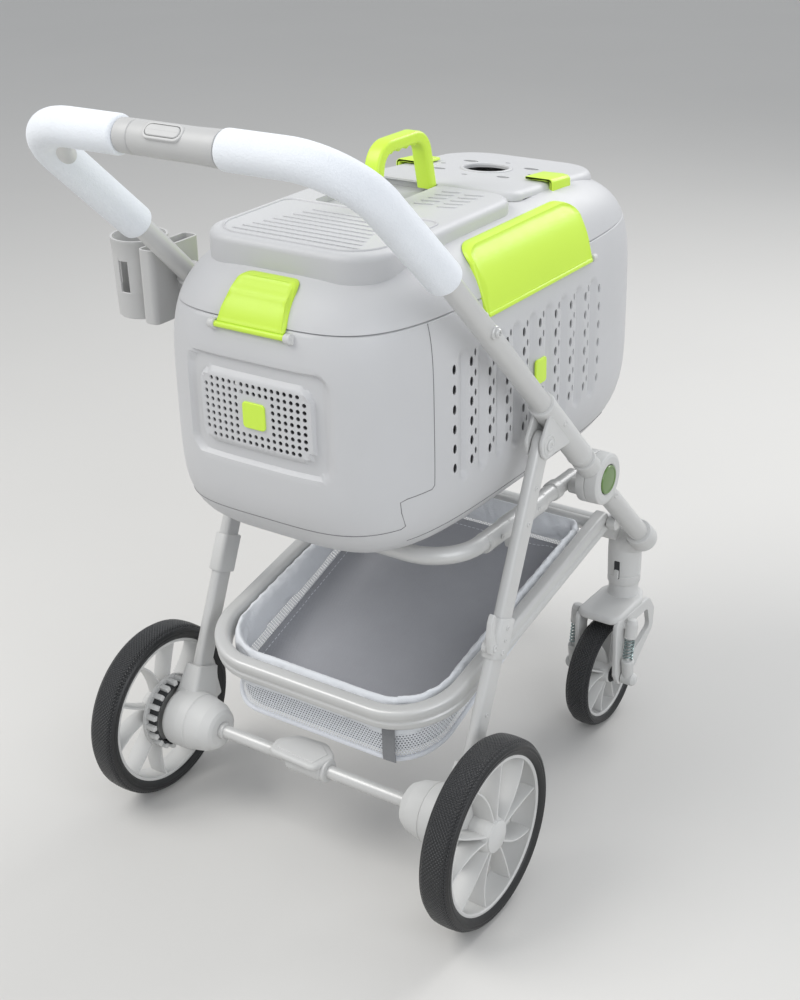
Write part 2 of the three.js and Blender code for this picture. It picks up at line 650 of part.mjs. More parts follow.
for (const [name, side] of sides) {
  const x = side * rearTrack;
  add(`rear_leg_${name}`, rearLeg(side), paintedTube);
  add(`rear_hub_housing_${name}`, hubHousing(side), greyPlastic);
  add(`rear_tyre_${name}`, tyre(rearWheelRadius, rearWheelWidth, rearRimRadius, x, 0), tyreRubber);
  const wheel = rim({ side, radius: rearWheelRadius, rimRadius: rearRimRadius, x, y: 0, core: 20,
    hubHalf: 17, axle: spindleRadius, pairs: 5, width: 30, capped: true });
  add(`rear_rim_${name}`, join(wheel, brakeRing(side)), greyPlastic);
}
const axleEnd = housingInnerX + 40 - gap;
add('rear_axle', rod(at(-axleEnd, 0, rearWheelRadius), at(axleEnd, 0, rearWheelRadius), axleRadius),
  paintedTube);
add('brake_pedal', brakePedal(), greyPlastic);

// ---- basket: rail, bag and floor ----
function basketRail() {
  const corners = [onRail(railX, railPivotY), onRail(railX, railRearY), onRail(-railX, railRearY),
    onRail(-railX, railPivotY)];
  const section = rectangle(-railThickness / 2, railThickness / 2, -railHeight / 2, railHeight / 2, 7);
  const loop = sweep(section, bentPoints(corners, railCornerRadius));
  const frontBar = rod(onRail(-railX, railPivotY - 12), onRail(railX, railPivotY - 12), 8);
  return join(loop, frontBar);
}

const bagHalfWidth = railX - railThickness / 2 - gap * 5;
const bagRearY = railRearY + railThickness / 2 + gap * 5;
const bagFrontY = railPivotY - 12 - 8 - gap * 5;
const bagCornerReach = (railCornerRadius - railThickness / 2) * 1.25;

// The bag's side view, drawn in by a wall.
function bagOutline(inset, rise) {
  const top = (y) => onRail(0, y).z + 6 + rise;
  const [rear, front] = [bagRearY + inset, bagFrontY - inset];
  return roundedOutline([[rear, top(rear)], [rear, railRearZ - basketRearDepth + inset],
    [front - 30, onRail(0, front - 30).z - basketFrontDepth + inset], [front, onRail(0, front).z - 8],
    [front, top(front)]], 3);
}

function basketBag() {
  const outer = sidePlate(bagOutline(0, 0), -bagHalfWidth, bagHalfWidth);
  const inner = sidePlate(bagOutline(basketWall, 12), -bagHalfWidth + basketWall, bagHalfWidth - basketWall);
  const plan = levelPlate(rectangle(-bagHalfWidth, bagHalfWidth, bagRearY, bagFrontY + 60, bagCornerReach), 0, hubZ);
  const innerPlan = levelPlate(rectangle(-bagHalfWidth + basketWall, bagHalfWidth - basketWall,
    bagRearY + basketWall, bagFrontY + 60, bagCornerReach - basketWall), 0, hubZ);
  return cut(outer.intersect(plan), inner.intersect(innerPlan));
}

function basketFloor() {
  const margin = basketWall + 3;
  const [rear, front] = [bagRearY + margin + 18, bagFrontY - 40];
  const floorZ = (y) => THREE.MathUtils.lerp(railRearZ - basketRearDepth,
    onRail(0, bagFrontY - 30).z - basketFrontDepth, (y - bagRearY) / (bagFrontY - 30 - bagRearY)) + basketWall + 1.5;
  const side = roundedOutline([[rear, floorZ(rear)], [front, floorZ(front)],
    [front, floorZ(front) + basketFloorThickness], [rear, floorZ(rear) + basketFloorThickness]], 0.5);
  const plan = levelPlate(rectangle(-bagHalfWidth + margin, bagHalfWidth - margin, rear - 5, front + 5, 60), 0, hubZ);
  return sidePlate(side, -bagHalfWidth, bagHalfWidth).intersect(plan);
}

add('basket_rail', basketRail(), paintedTube);
add('basket_bag', basketBag(), whiteFabric);
add('basket_floor', basketFloor(), greyFabric);

// ---- upper frame: handle tube, fold joint covers, leg brackets, grips and cup holder ----
const sleeveEnd = legBracketStart + legBracketLength;
const handleCorners = [alongTube(halfWidth, hubNeckLength + gap), at(halfWidth, gripStartY, gripStartZ),
  at(halfWidth, crossbarY, crossbarZ), at(-halfWidth, crossbarY, crossbarZ),
  at(-halfWidth, gripStartY, gripStartZ), alongTube(-halfWidth, hubNeckLength + gap)];
add('handle_tube', bentTube(bentPoints(handleCorners, handleCornerRadius), tubeRadius), paintedTube);

function hubCover(side) {
  const disc = hubDisc(side, hubSplitX, hubOuterX, hubRadius);
  const neck = cut(rod(alongTube(side * halfWidth, 10), alongTube(side * halfWidth, hubNeckLength), 15.5, 14.5),
    hubDisc(side, hubInnerX - 5, hubSplitX, hubRadius + 1));
  return cut(join(disc, neck), hubDisc(side, hubOuterX - 6, hubOuterX + 5, hubButtonRadius + gap));
}

// A bored sleeve on the side tube, with two ears that hold the top of a rear leg.
function legBracket(side) {
  const x = side * halfWidth;
  const sleeve = rod(alongTube(x, legBracketStart), alongTube(x, sleeveEnd), legBracketRadius);
  const tubeRoom = bore(alongTube(x, legBracketStart - 5), alongTube(x, sleeveEnd + 5), tubeRadius);
  const lower = alongTube(0, legBracketStart + 50);
  const upper = alongTube(0, sleeveEnd - 6);
  const ears = [legX - legThickness / 2 - gap - 4.5, legX + legThickness / 2 + gap].map((inner) => {
    const shape = roundedOutline([[lower.y, lower.z], [upper.y, upper.z], [legPivotY - 17, legPivotZ + 10],
      [legPivotY - 15, legPivotZ - 15], [legPivotY + 14, legPivotZ - 15]], 10);
    const [x0, x1] = side > 0 ? [inner, inner + 4.5] : [-inner - 4.5, -inner];
    return sidePlate(shape, x0, x1);
  });
  return cut(join(sleeve, ...ears), tubeRoom);
}

function grip(side) {
  const corners = [at(side * halfWidth, gripStartY - 13, gripStartZ + 12),
    at(side * halfWidth, crossbarY, crossbarZ), at(side * gripEndX, crossbarY, crossbarZ)];
  const points = bentPoints(corners, handleCornerRadius);
  return cut(bentTube(points, gripRadius), gripBore());
}

const gripBore = () => bentTube(bentPoints(handleCorners, handleCornerRadius), tubeRadius + gap);

const buttonUp = upTube.clone();    // the handle's button faces up and back, along the side tubes

function centreCover() {
  const end = gripEndX - gap;
  const body = rod(at(-end, crossbarY, crossbarZ), at(end, crossbarY, crossbarZ), centreCoverRadius);
  const tubeRoom = bore(at(-end - 5, crossbarY, crossbarZ), at(end + 5, crossbarY, crossbarZ), tubeRadius);
  return cut(body, tubeRoom, buttonSolid(gap, tubeRadius, centreCoverRadius + 5));
}

// The oval fold button, standing between two radii from the crossbar's middle line.
function buttonSolid(margin, from, to) {
  const shape = rectangle(-22 - margin, 22 + margin, -6.5 - margin, 6.5 + margin, 6.5 + margin);
  const geometry = new THREE.ExtrudeGeometry(shape, { depth: to - from, bevelEnabled: false, curveSegments: 3 });
  const across = new THREE.Vector3().crossVectors(buttonUp, xAxis);
  const start = at(0, crossbarY, crossbarZ).addScaledVector(buttonUp, from);
  return solid(geometry.applyMatrix4(new THREE.Matrix4().makeBasis(xAxis, across, buttonUp).setPosition(start)));
}

const buttonTravel = 2.5;

for (const [name, side] of sides) {
  add(`hub_cover_${name}`, hubCover(side), greyPlastic);
  add(`hub_button_${name}`, hubDisc(side, hubOuterX - 6 + buttonTravel + gap, hubOuterX + 1, hubButtonRadius),
    greenPlastic);
  add(`leg_bracket_${name}`, legBracket(side), greyPlastic);
  add(`grip_${name}`, grip(side), whiteFoam);
}
add('handle_centre_cover', centreCover(), greyPlastic);
add('fold_button', buttonSolid(0, tubeRadius + gap + buttonTravel, centreCoverRadius + 1.5), greyPlastic);

// The cup holder on the left tube: a cup, a flat pocket beside it and a clamp round the tube.
function cupHolder() {
  const bottom = cupTop - cupHeight;
  const cup = rod(at(cupX, cupY, bottom), at(cupX, cupY, cupTop), cupRadius - 4, cupRadius, 16);
  const cupRoom = rod(at(cupX, cupY, bottom + cupWall), at(cupX, cupY, cupTop + 5), cupRadius - 4 - cupWall,
    cupRadius - cupWall, 16);
  const pocketX = cupX + cupRadius;
  const pocketY = cupY - 40;
  const [outerShape, innerShape] = [0, cupWall].map((wall) => rectangle(pocketX - 4 + wall,
    pocketX + pocketThickness - wall, pocketY + wall, pocketY + pocketLength - wall, 7 - wall));
  const pocket = levelPlate(outerShape, bottom + 2, cupTop - 4);
  const pocketRoom = levelPlate(innerShape, bottom + 2 + cupWall, cupTop + 5);
  const clampY = (z) => hub(0).addScaledVector(upTube, (z - hubZ) / upTube.z).y;
  const armZ = bottom + 48;
  const armStart = pocketX + pocketThickness - 2;
  const arm = block(armStart, -halfWidth - tubeRadius + 2, clampY(armZ) - 12, clampY(armZ) + 12, armZ - 12,
    armZ + 12);
  const clampLow = hub(-halfWidth).addScaledVector(upTube, (armZ - 14 - hubZ) / upTube.z);
  const clampHigh = hub(-halfWidth).addScaledVector(upTube, (armZ + 14 - hubZ) / upTube.z);
  const clamp = rod(clampLow, clampHigh, tubeRadius + 4);
  const tubeRoom = bore(clampLow.clone().addScaledVector(upTube, -20), clampHigh.clone().addScaledVector(upTube, 20),
    tubeRadius);
  const ports = [0, 1, 2].map((i) => {
    const angle = Math.PI * (0.9 + 0.3 * i);
    const [dx, dy] = [Math.cos(angle) * cupRadius, Math.sin(angle) * cupRadius];
    return rod(at(cupX + dx * 0.7, cupY + dy * 0.7, bottom + 45), at(cupX + dx * 1.2, cupY + dy * 1.2, bottom + 45), 6, 6, 6);
  });
  return cut(join(cup, pocket, arm, clamp), cupRoom, pocketRoom, tubeRoom, ...ports);
}
add('cup_holder', cupHolder(), greyPlastic);

// ---- carrier: base, lid, hatch, latches and handle ----
const far = 1000;
const outerForm = carrierForm(0);
const innerForm = carrierForm(-carrierWall);
const shell = cut(outerForm, innerForm);
const clearForm = carrierForm(gap);

add('carrier_base', cut(shell, block(-far, far, -far, far, partingZ - gap / 2, far)), carrierPlastic);

// The recess in the lid that the carry handle stands over and folds down into, towards the left.
const handleRecess = () => block(-recessLength, carryHandleWidth / 2 + 3, carryHandleY - carryHandleLength / 2 - 2,
  carryHandleY + carryHandleLength / 2 + 2, platformTop - recessDepth, far);

function lid() {
  const upper = cut(shell, block(-far, far, -far, far, -far, partingZ + gap / 2));
  const platform = cut(levelPlate(rectangle(-platformHalfWidth, platformHalfWidth, platformRearY,
    platformFrontY, 46), carrierZ, platformTop), carrierForm(-1));
  const door = levelPlate(rectangle(-hatchHalfWidth + 18, hatchHalfWidth - 18, hatchRearY + 18,
    hatchFrontY - 24, 30), carrierZ + 60, far);
  return cut(join(upper, platform), door, handleRecess());
}
add('carrier_lid', lid(), carrierPlastic);

// What stands level with the lid's raised panel, leant forwards about the hatch's rear edge.
function leanForwards(shape) {
  const angle = THREE.MathUtils.radToDeg(Math.atan(hatchDrop / (hatchFrontY - hatchRearY)));
  return shape.translate([0, -hatchRearY, -platformTop]).rotate([-angle, 0, 0])
    .translate([0, hatchRearY, platformTop]);
}

function hatch() {
  const outline = (inset) => rectangle(-hatchHalfWidth + inset, hatchHalfWidth - inset, hatchRearY + inset,
    hatchFrontY - inset, 40 - inset);
  const cap = levelPlate(outline(0), carrierZ + 60, platformTop);
  const inside = levelPlate(outline(carrierWall), carrierZ, platformTop - carrierWall);
  const hole = rod(at(0, hatchHoleY, carrierZ), at(0, hatchHoleY, far), hatchHoleRadius, hatchHoleRadius, 20);
  return cut(leanForwards(cut(cap, inside, hole)), clearForm);
}
add('lid_hatch', hatch(), carrierPlastic);

function carryHandle() {
  const [rear, front] = [carryHandleY - carryHandleLength / 2, carryHandleY + carryHandleLength / 2];
  const foot = platformTop - handleFootDepth;
  const arch = (inset, bottom, radius) => roundedOutline([[rear + inset, bottom - 40], [front - inset, bottom - 40],
    [front - inset, bottom], [front - 14 - inset, carryHandleTop - inset], [rear + 14 + inset, carryHandleTop - inset],
    [rear + inset, bottom]], radius);
  const whole = cut(
    sidePlate(arch(0, foot, 26), -carryHandleWidth / 2, carryHandleWidth / 2, 3),
    sidePlate(arch(carryHandleThickness, foot, 14), -carryHandleWidth, carryHandleWidth, 3),
  );
  return cut(whole, block(-far, far, -far, far, 0, foot));
}
add('carry_handle', carryHandle(), limePlastic);

// A latch hugs the lid's shoulder: a patch of a shell just outside the lid's form.
const latchShell = cut(carrierForm(gap + latchThickness), clearForm);

const endLatchHalfWidth = 47;
const latchOverlap = 6;             // how far a latch reaches below the joint of lid and base

function endLatch(way) {
  const y0 = way > 0 ? hatchFrontY + 1 : platformRearY - 1;
  const y1 = carrierY + way * (carrierHalfLength + 30);
  const low = partingZ - latchOverlap;
  const outline = roundedOutline([[-endLatchHalfWidth, low], [endLatchHalfWidth, low],
    [endLatchHalfWidth * 0.8, far], [-endLatchHalfWidth * 0.8, far]], 1);
  const geometry = new THREE.ExtrudeGeometry(outline, { depth: Math.abs(y1 - y0), bevelEnabled: false });
  const turn = new THREE.Matrix4().makeBasis(xAxis, at(0, 0, 1), at(0, -1, 0));
  const tool = solid(geometry.applyMatrix4(turn).translate(0, Math.max(y0, y1), 0));
  const topEdge = block(-far, far, carrierY - far, carrierY + far, 784, far);
  return cut(latchShell.intersect(tool), topEdge);
}

const sideLatchOverlap = 18;
const sideLatchRear = 136;
const sideLatchFront = 384;
function sideLatch(side) {
  const [x0, x1] = side > 0 ? [platformHalfWidth + 4, far] : [-far, -platformHalfWidth - 4];
  return latchShell.intersect(block(x0, x1, sideLatchRear, sideLatchFront,
    partingZ - sideLatchOverlap, far));
}

add('rear_latch', endLatch(-1), limePlastic);
add('front_latch', endLatch(1), limePlastic);

// A small latch over each long edge of the hatch, just outside the hatch's wall.
function hatchLatch(side) {
  const x = (value) => side * value;
  const edge = hatchHalfWidth + gap;
  const top = platformTop + gap;
  const outline = roundedOutline([[x(edge - 34), top], [x(edge), top], [x(edge), top - 26],
    [x(edge + 5), top - 26], [x(edge + 5), top + 3], [x(edge), top + 5], [x(edge - 34), top + 4]], 1.5);
  const depth = 46;
  const geometry = new THREE.ExtrudeGeometry(outline, { depth, bevelEnabled: false, curveSegments: 2 });
  const turn = new THREE.Matrix4().makeBasis(xAxis, at(0, 0, 1), at(0, -1, 0));
  const level = solid(geometry.applyMatrix4(turn).translate(0, hatchHoleY + depth / 2 - 12, 0));
  return cut(leanForwards(level), clearForm);
}

for (const [name, side] of sides) {
  add(`side_latch_${name}`, sideLatch(side), limePlastic);
  add(`hatch_latch_${name}`, hatchLatch(side), limePlastic);
}

// ---- origin at the bottom centre of everything ----
const middle = new THREE.Box3().setFromObject(object).getCenter(at(0, 0, 0));
object.position.set(-middle.x, -middle.y, 0);

export default object;
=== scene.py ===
"""The looks of a folding pet stroller with a lift-off hard carrier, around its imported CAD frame.

Sizes are millimetres in the stroller's own axes: x to the pusher's right, y the way it travels, z up,
with y = 0 at the rear axle and z = 0 on the ground. place() turns them into the frame's metres.
"""
import json
import math
import random

import bmesh
import bpy
import numpy as np
from mathutils import Matrix, Vector
from mathutils.geometry import delaunay_2d_cdt

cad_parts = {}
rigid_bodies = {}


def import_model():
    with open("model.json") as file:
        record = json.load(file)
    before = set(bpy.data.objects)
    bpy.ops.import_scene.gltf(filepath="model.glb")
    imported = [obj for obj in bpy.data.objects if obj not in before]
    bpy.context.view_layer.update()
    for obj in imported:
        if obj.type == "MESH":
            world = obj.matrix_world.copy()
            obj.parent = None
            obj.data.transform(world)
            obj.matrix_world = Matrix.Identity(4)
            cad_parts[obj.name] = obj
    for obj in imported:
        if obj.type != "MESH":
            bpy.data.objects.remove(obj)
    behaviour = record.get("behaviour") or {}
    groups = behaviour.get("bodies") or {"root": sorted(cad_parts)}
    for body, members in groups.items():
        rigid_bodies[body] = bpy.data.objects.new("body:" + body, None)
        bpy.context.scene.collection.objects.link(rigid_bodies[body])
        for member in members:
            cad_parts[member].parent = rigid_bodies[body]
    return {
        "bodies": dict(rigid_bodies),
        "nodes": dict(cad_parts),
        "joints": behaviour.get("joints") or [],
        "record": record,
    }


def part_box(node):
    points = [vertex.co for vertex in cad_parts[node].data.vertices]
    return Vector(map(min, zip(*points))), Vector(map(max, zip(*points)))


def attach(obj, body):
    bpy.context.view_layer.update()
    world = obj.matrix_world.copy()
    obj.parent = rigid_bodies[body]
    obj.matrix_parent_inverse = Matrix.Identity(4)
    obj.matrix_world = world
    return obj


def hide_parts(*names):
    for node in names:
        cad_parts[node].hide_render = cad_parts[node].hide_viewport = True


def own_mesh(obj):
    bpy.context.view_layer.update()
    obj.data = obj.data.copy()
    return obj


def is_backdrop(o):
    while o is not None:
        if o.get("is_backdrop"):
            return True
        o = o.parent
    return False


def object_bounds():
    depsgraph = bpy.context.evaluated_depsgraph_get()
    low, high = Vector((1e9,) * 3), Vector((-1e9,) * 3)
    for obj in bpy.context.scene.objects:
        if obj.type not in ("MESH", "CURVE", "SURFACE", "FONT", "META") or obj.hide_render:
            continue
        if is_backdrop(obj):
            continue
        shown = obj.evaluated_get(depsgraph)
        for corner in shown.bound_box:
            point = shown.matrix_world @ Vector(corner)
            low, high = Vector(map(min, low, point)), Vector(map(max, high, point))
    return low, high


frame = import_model()
cad_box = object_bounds()

axle_low, axle_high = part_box("rear_axle")
ORIGIN = np.array([(axle_low.x + axle_high.x) / 2, (axle_low.y + axle_high.y) / 2, 0.0])
SIDES = (("right", 1), ("left", -1))
ROLL = -1.46


def place(points):
    return np.asarray(points, float) / 1000 + ORIGIN


def vec(*values):
    return np.array(values, float)


def unit(v):
    return np.asarray(v, float) / np.linalg.norm(v)


# ---- sizes that repeat the CAD's ----
HUB = vec(0, 351, 438)
HUB_RADIUS = 34.5
HUB_INNER, HUB_SPLIT, HUB_OUTER = 196, 211, 229
HALF_WIDTH = 212
TUBE = 13
GRIP_START = vec(0, 10, 787)
CROSSBAR = vec(0, -163, 949)
HANDLE_BEND = 112
GRIP_RADIUS = 21
GRIP_END = 66
UP_TUBE = unit(GRIP_START - HUB)
FRONT_LEG_X, FRONT_LEG_RADIUS = 205, 14
COLLAR = vec(0, 515, 276)
DOWN_LEG = unit(COLLAR - HUB)
FRONT_LEG_LENGTH = np.linalg.norm(COLLAR - HUB)
BEAM_Y, BEAM_Z, BEAM_RADIUS = 505, 287, 13
SEAT_X, SEAT_Z, SEAT_RADIUS, SEAT_REAR = 163, 417.5, 11, 80
LEG_X, LEG_WIDTH, LEG_THICKNESS = 213, 30, 15
LEG_PIVOT = vec(0, 200, 541)
LEG_FOOT = vec(0, 28, 152)
LEG_UP = unit(LEG_PIVOT - LEG_FOOT)
LEG_ACROSS = np.cross([1, 0, 0], LEG_UP)
REAR_RADIUS, REAR_TRACK, REAR_WIDTH, REAR_RIM = 120, 258, 40, 101
FRONT_RADIUS, FRONT_TRACK, FRONT_WIDTH, FRONT_RIM, FRONT_Y = 80.5, 174, 34, 67, 458
CASTER_Y = 520
AXLE_RADIUS = 8.5
HOUSING_INNER = 149
RAIL_X, RAIL_PIVOT, RAIL_REAR = 178, vec(0, 436, 332), vec(0, -1, 233)
RAIL_THICKNESS, RAIL_HEIGHT, RAIL_BEND = 20, 30, 80
CARRIER_Y, CARRIER_Z = 259, 606
CARRIER_LENGTH, CARRIER_WIDTH = 331, 177.5
CARRIER_RISE, CARRIER_DROP = 192, 175.5
PLAN_POWER, TOP_POWER, BOTTOM_POWER = 4.2, 4.5, 4.3
PARTING = 732
PLATFORM_TOP = 807
CUP_X, CUP_Y, CUP_TOP, CUP_HEIGHT, CUP_RADIUS = -287, 74, 757, 100, 36


def on_rail(x, y):
    share = (y - RAIL_REAR[1]) / (RAIL_PIVOT[1] - RAIL_REAR[1])
    return vec(x, y, RAIL_REAR[2] + share * (RAIL_PIVOT[2] - RAIL_REAR[2]))


def on_leg(x, z):
    share = (z - LEG_FOOT[2]) / (LEG_PIVOT[2] - LEG_FOOT[2])
    return vec(x, LEG_FOOT[1] + share * (LEG_PIVOT[1] - LEG_FOOT[1]), z)


def along_tube(x, distance):
    return HUB + vec(x, 0, 0) + UP_TUBE * distance


def along_leg(x, distance):
    return HUB + vec(x, 0, 0) + DOWN_LEG * distance


# ---- materials ----
class Look:
    """A material's node tree, with short ways to add and join nodes."""

    def __init__(self, name, colour, roughness, **sockets):
        self.material = bpy.data.materials.new(name)
        self.material.use_nodes = True
        self.tree = self.material.node_tree
        self.shader = self.tree.nodes["Principled BSDF"]
        self.colour = (*colour, 1)
        self.shader.inputs["Base Color"].default_value = self.colour
        self.shader.inputs["Roughness"].default_value = roughness
        for socket, value in sockets.items():
            self.shader.inputs[socket.replace("_", " ")].default_value = value
        self.place = self.node("ShaderNodeTexCoord").outputs["Object"]

    def node(self, kind, inputs=None, **settings):
        made = self.tree.nodes.new(kind)
        for name, value in settings.items():
            setattr(made, name, value)
        for name, value in (inputs or {}).items():
            if isinstance(value, bpy.types.NodeSocket):
                self.tree.links.new(value, made.inputs[name])
            else:
                made.inputs[name].default_value = value
        return made

    def noise(self, scale, detail=3, roughness=0.55):
        inputs = {"Vector": self.place, "Scale": scale, "Detail": detail, "Roughness": roughness}
        return self.node("ShaderNodeTexNoise", inputs).outputs["Fac"]

    def math(self, operation, a, b=0.0):
        return self.node("ShaderNodeMath", {0: a, 1: b}, operation=operation).outputs[0]

    def spread(self, fac, low, high):
        inputs = {"Value": fac, "To Min": low, "To Max": high}
        return self.node("ShaderNodeMapRange", inputs).outputs["Result"]

    def vary(self, fac, darker, lighter):
        """The base colour, moved between two brightnesses by a 0 to 1 value."""
        ramp = self.node("ShaderNodeValToRGB", {"Fac": fac})
        for end, share in zip(ramp.color_ramp.elements, (darker, lighter)):
            end.color = (*(c * share for c in self.colour[:3]), 1)
        self.tree.links.new(ramp.outputs["Color"], self.shader.inputs["Base Color"])
        return ramp.outputs["Color"]

    def rough(self, fac, low, high):
        self.tree.links.new(self.spread(fac, low, high), self.shader.inputs["Roughness"])

    def bump(self, height, distance, strength=1.0, after=None):
        inputs = {"Height": height, "Distance": distance, "Strength": strength}
        if after is not None:
            inputs["Normal"] = after
        normal = self.node("ShaderNodeBump", inputs).outputs["Normal"]
        self.tree.links.new(normal, self.shader.inputs["Normal"])
        return normal


def plastic(name, colour, roughness, grain=0.00005, **sockets):
    """Moulded plastic: a fine spark-eroded grain, slow shade changes and faint handling marks."""
    look = Look(name, colour, roughness, **sockets)
    look.vary(look.noise(9, 4), 0.955, 1.03)
    look.rough(look.noise(60, 5), roughness - 0.07, roughness + 0.09)
    normal = look.bump(look.noise(1900, 2), grain, 0.55)
    look.bump(look.noise(35, 2), 0.0004, 0.12, normal)
    return look.material


def paint(name, colour, roughness):
    """Powder coat on tube: slight orange peel and a thin clear gloss."""
    look = Look(name, colour, roughness, Metallic=0.15, Coat_Weight=0.25, Coat_Roughness=0.25)
    look.vary(look.noise(14, 4), 0.96, 1.03)
    look.rough(look.noise(90, 4), roughness - 0.06, roughness + 0.08)
    look.bump(look.noise(520, 2), 0.00006, 0.4)
    return look.material


def foam(name, colour):
    look = Look(name, colour, 0.92, Sheen_Weight=0.25, Sheen_Roughness=0.6)
    cells = look.node("ShaderNodeTexVoronoi", {"Vector": look.place, "Scale": 620}).outputs["Distance"]
    look.vary(look.noise(25, 5), 0.93, 1.02)
    normal = look.bump(cells, 0.0005, 0.55)
    look.bump(look.noise(130, 5, 0.65), 0.0011, 0.6, normal)
    return look.material


def rubber(name, colour, pitch=0.0052):
    """Tyre rubber with a diamond knurl on the tread, its crests painted lighter as a painted highlight and
    its grooves and the sidewalls painted darker as painted shade. UV holds metres round and across the tyre.
    """
    look = Look(name, colour, 0.42, Specular_IOR_Level=0.6)
    uv = look.node("ShaderNodeSeparateXYZ", {"Vector": look.node("ShaderNodeTexCoord").outputs["UV"]})
    along, across = uv.outputs["X"], uv.outputs["Y"]
    steep = look.math("MULTIPLY", across, 1.15)
    waves = [look.math("PINGPONG", look.math("DIVIDE", value, pitch), 0.5)
             for value in (look.math("ADD", along, steep), look.math("SUBTRACT", along, steep))]
    diamond = look.math("MULTIPLY", look.math("MULTIPLY", waves[0], waves[1]), 4)
    edge = look.node("ShaderNodeMapRange", {"Value": look.math("ABSOLUTE", across), "From Min": 0.019,
                                            "From Max": 0.0205, "To Min": 1.0, "To Max": 0.0})
    height = look.math("MULTIPLY", diamond, edge.outputs["Result"])
    # painted light: the colour follows the knurl's height, darker in the grooves and off the tread (painted
    # shade) and lighter on the crests (painted highlight)
    ramp = look.node("ShaderNodeValToRGB", {"Fac": height})
    ramp.color_ramp.elements[0].position = 0.08
    ramp.color_ramp.elements[0].color = (*(c * 0.45 for c in colour), 1)
    ramp.color_ramp.elements[1].position = 0.5
    ramp.color_ramp.elements[1].color = (*(c * 1.5 for c in colour), 1)
    look.tree.links.new(ramp.outputs["Color"], look.shader.inputs["Base Color"])
    look.rough(look.noise(120, 4), 0.34, 0.52)
    normal = look.bump(height, 0.0016, 1.0)
    look.bump(look.noise(800, 2), 0.00008, 0.4, normal)
    return look.material


def woven(name, colour, thread=0.0011, **sockets):
    """A plain weave over UV metres, its colour darker where the threads dip as painted shade."""
    look = Look(name, colour, 0.85, Sheen_Weight=0.3, Sheen_Roughness=0.5, **sockets)
    uv = look.node("ShaderNodeTexCoord").outputs["UV"]
    split = look.node("ShaderNodeSeparateXYZ", {"Vector": uv})
    u, v = (look.math("DIVIDE", split.outputs[axis], thread) for axis in "XY")
    warp = look.math("PINGPONG", look.math("ADD", u, look.math("FLOOR", v)), 1.0)
    weft = look.math("PINGPONG", look.math("ADD", v, look.math("FLOOR", u)), 1.0)
    weave = look.math("MAXIMUM", warp, weft)
    # painted shade: half of the colour follows the weave's height, darker where the threads dip
    look.vary(look.math("ADD", look.math("MULTIPLY", weave, 0.5),
                        look.math("MULTIPLY", look.noise(30, 5), 0.5)),
              0.86, 1.05)
    normal = look.bump(weave, 0.0003, 0.7)
    look.bump(look.noise(40, 4), 0.003, 0.35, normal)
    return look.material


def mesh_fabric(name, colour, pitch=0.0042):
    """Knitted mesh: round holes on a staggered grid over UV metres."""
    look = Look(name, colour, 0.8, Sheen_Weight=0.2)
    uv = look.node("ShaderNodeTexCoord").outputs["UV"]
    split = look.node("ShaderNodeSeparateXYZ", {"Vector": uv})
    row = look.math("DIVIDE", split.outputs["Y"], pitch * 0.87)
    shift = look.math("MULTIPLY", look.math("MODULO", look.math("FLOOR", row), 2.0), 0.5)
    column = look.math("ADD", look.math("DIVIDE", split.outputs["X"], pitch), shift)
    du = look.math("SUBTRACT", look.math("FRACT", column), 0.5)
    dv = look.math("SUBTRACT", look.math("FRACT", row), 0.5)
    radius = look.math("SQRT", look.math("ADD", look.math("MULTIPLY", du, du), look.math("MULTIPLY", dv, dv)))
    solid = look.math("GREATER_THAN", radius, 0.31)
    look.tree.links.new(solid, look.shader.inputs["Alpha"])
    look.vary(look.noise(20, 4), 0.94, 1.03)
    look.bump(radius, 0.0006, 0.6)
    return look.material


LOOKS = {
    "painted_tube": paint("painted_tube", (0.585, 0.585, 0.575), 0.36),
    "grey_plastic": plastic("grey_plastic", (0.60, 0.60, 0.59), 0.5),
    "cover_plastic": plastic("cover_plastic", (0.50, 0.50, 0.495), 0.45),
    "carrier_plastic": plastic("carrier_plastic", (0.565, 0.567, 0.575), 0.47),
    # painted shade: a darker copy of the carrier plastic for the floor of the handle's recess
    "painted_recess_shade": plastic("painted_recess_shade", (0.44, 0.445, 0.455), 0.5),
    # painted shade: a near-black plastic laid in gaps, slots and bores where shade falls
    "hollow_dark": plastic("hollow_dark", (0.035, 0.036, 0.038), 0.8),
    "seam_shadow": plastic("seam_shadow", (0.21, 0.21, 0.215), 0.8),
    "padded_fabric": foam("padded_fabric", (0.76, 0.78, 0.81)),
    "strap_webbing": foam("strap_webbing", (0.20, 0.205, 0.215)),
    "lime_plastic": plastic("lime_plastic", (0.61, 0.86, 0.075), 0.36, Specular_IOR_Level=0.45),
    "green_button": plastic("green_button", (0.11, 0.21, 0.045), 0.3, Coat_Weight=0.5),
    "white_foam": foam("white_foam", (0.80, 0.83, 0.87)),
    "tyre": rubber("tyre", (0.017, 0.018, 0.020)),
    "white_fabric": woven("white_fabric", (0.74, 0.76, 0.80)),
    "white_mesh": mesh_fabric("white_mesh", (0.74, 0.76, 0.79)),
    "grey_fabric": woven("grey_fabric", (0.34, 0.345, 0.37), 0.0014),
    "spring_steel": plastic("spring_steel", (0.30, 0.37, 0.37), 0.28, Metallic=0.9),
    "bright_steel": plastic("bright_steel", (0.62, 0.62, 0.62), 0.25, Metallic=1.0),
}


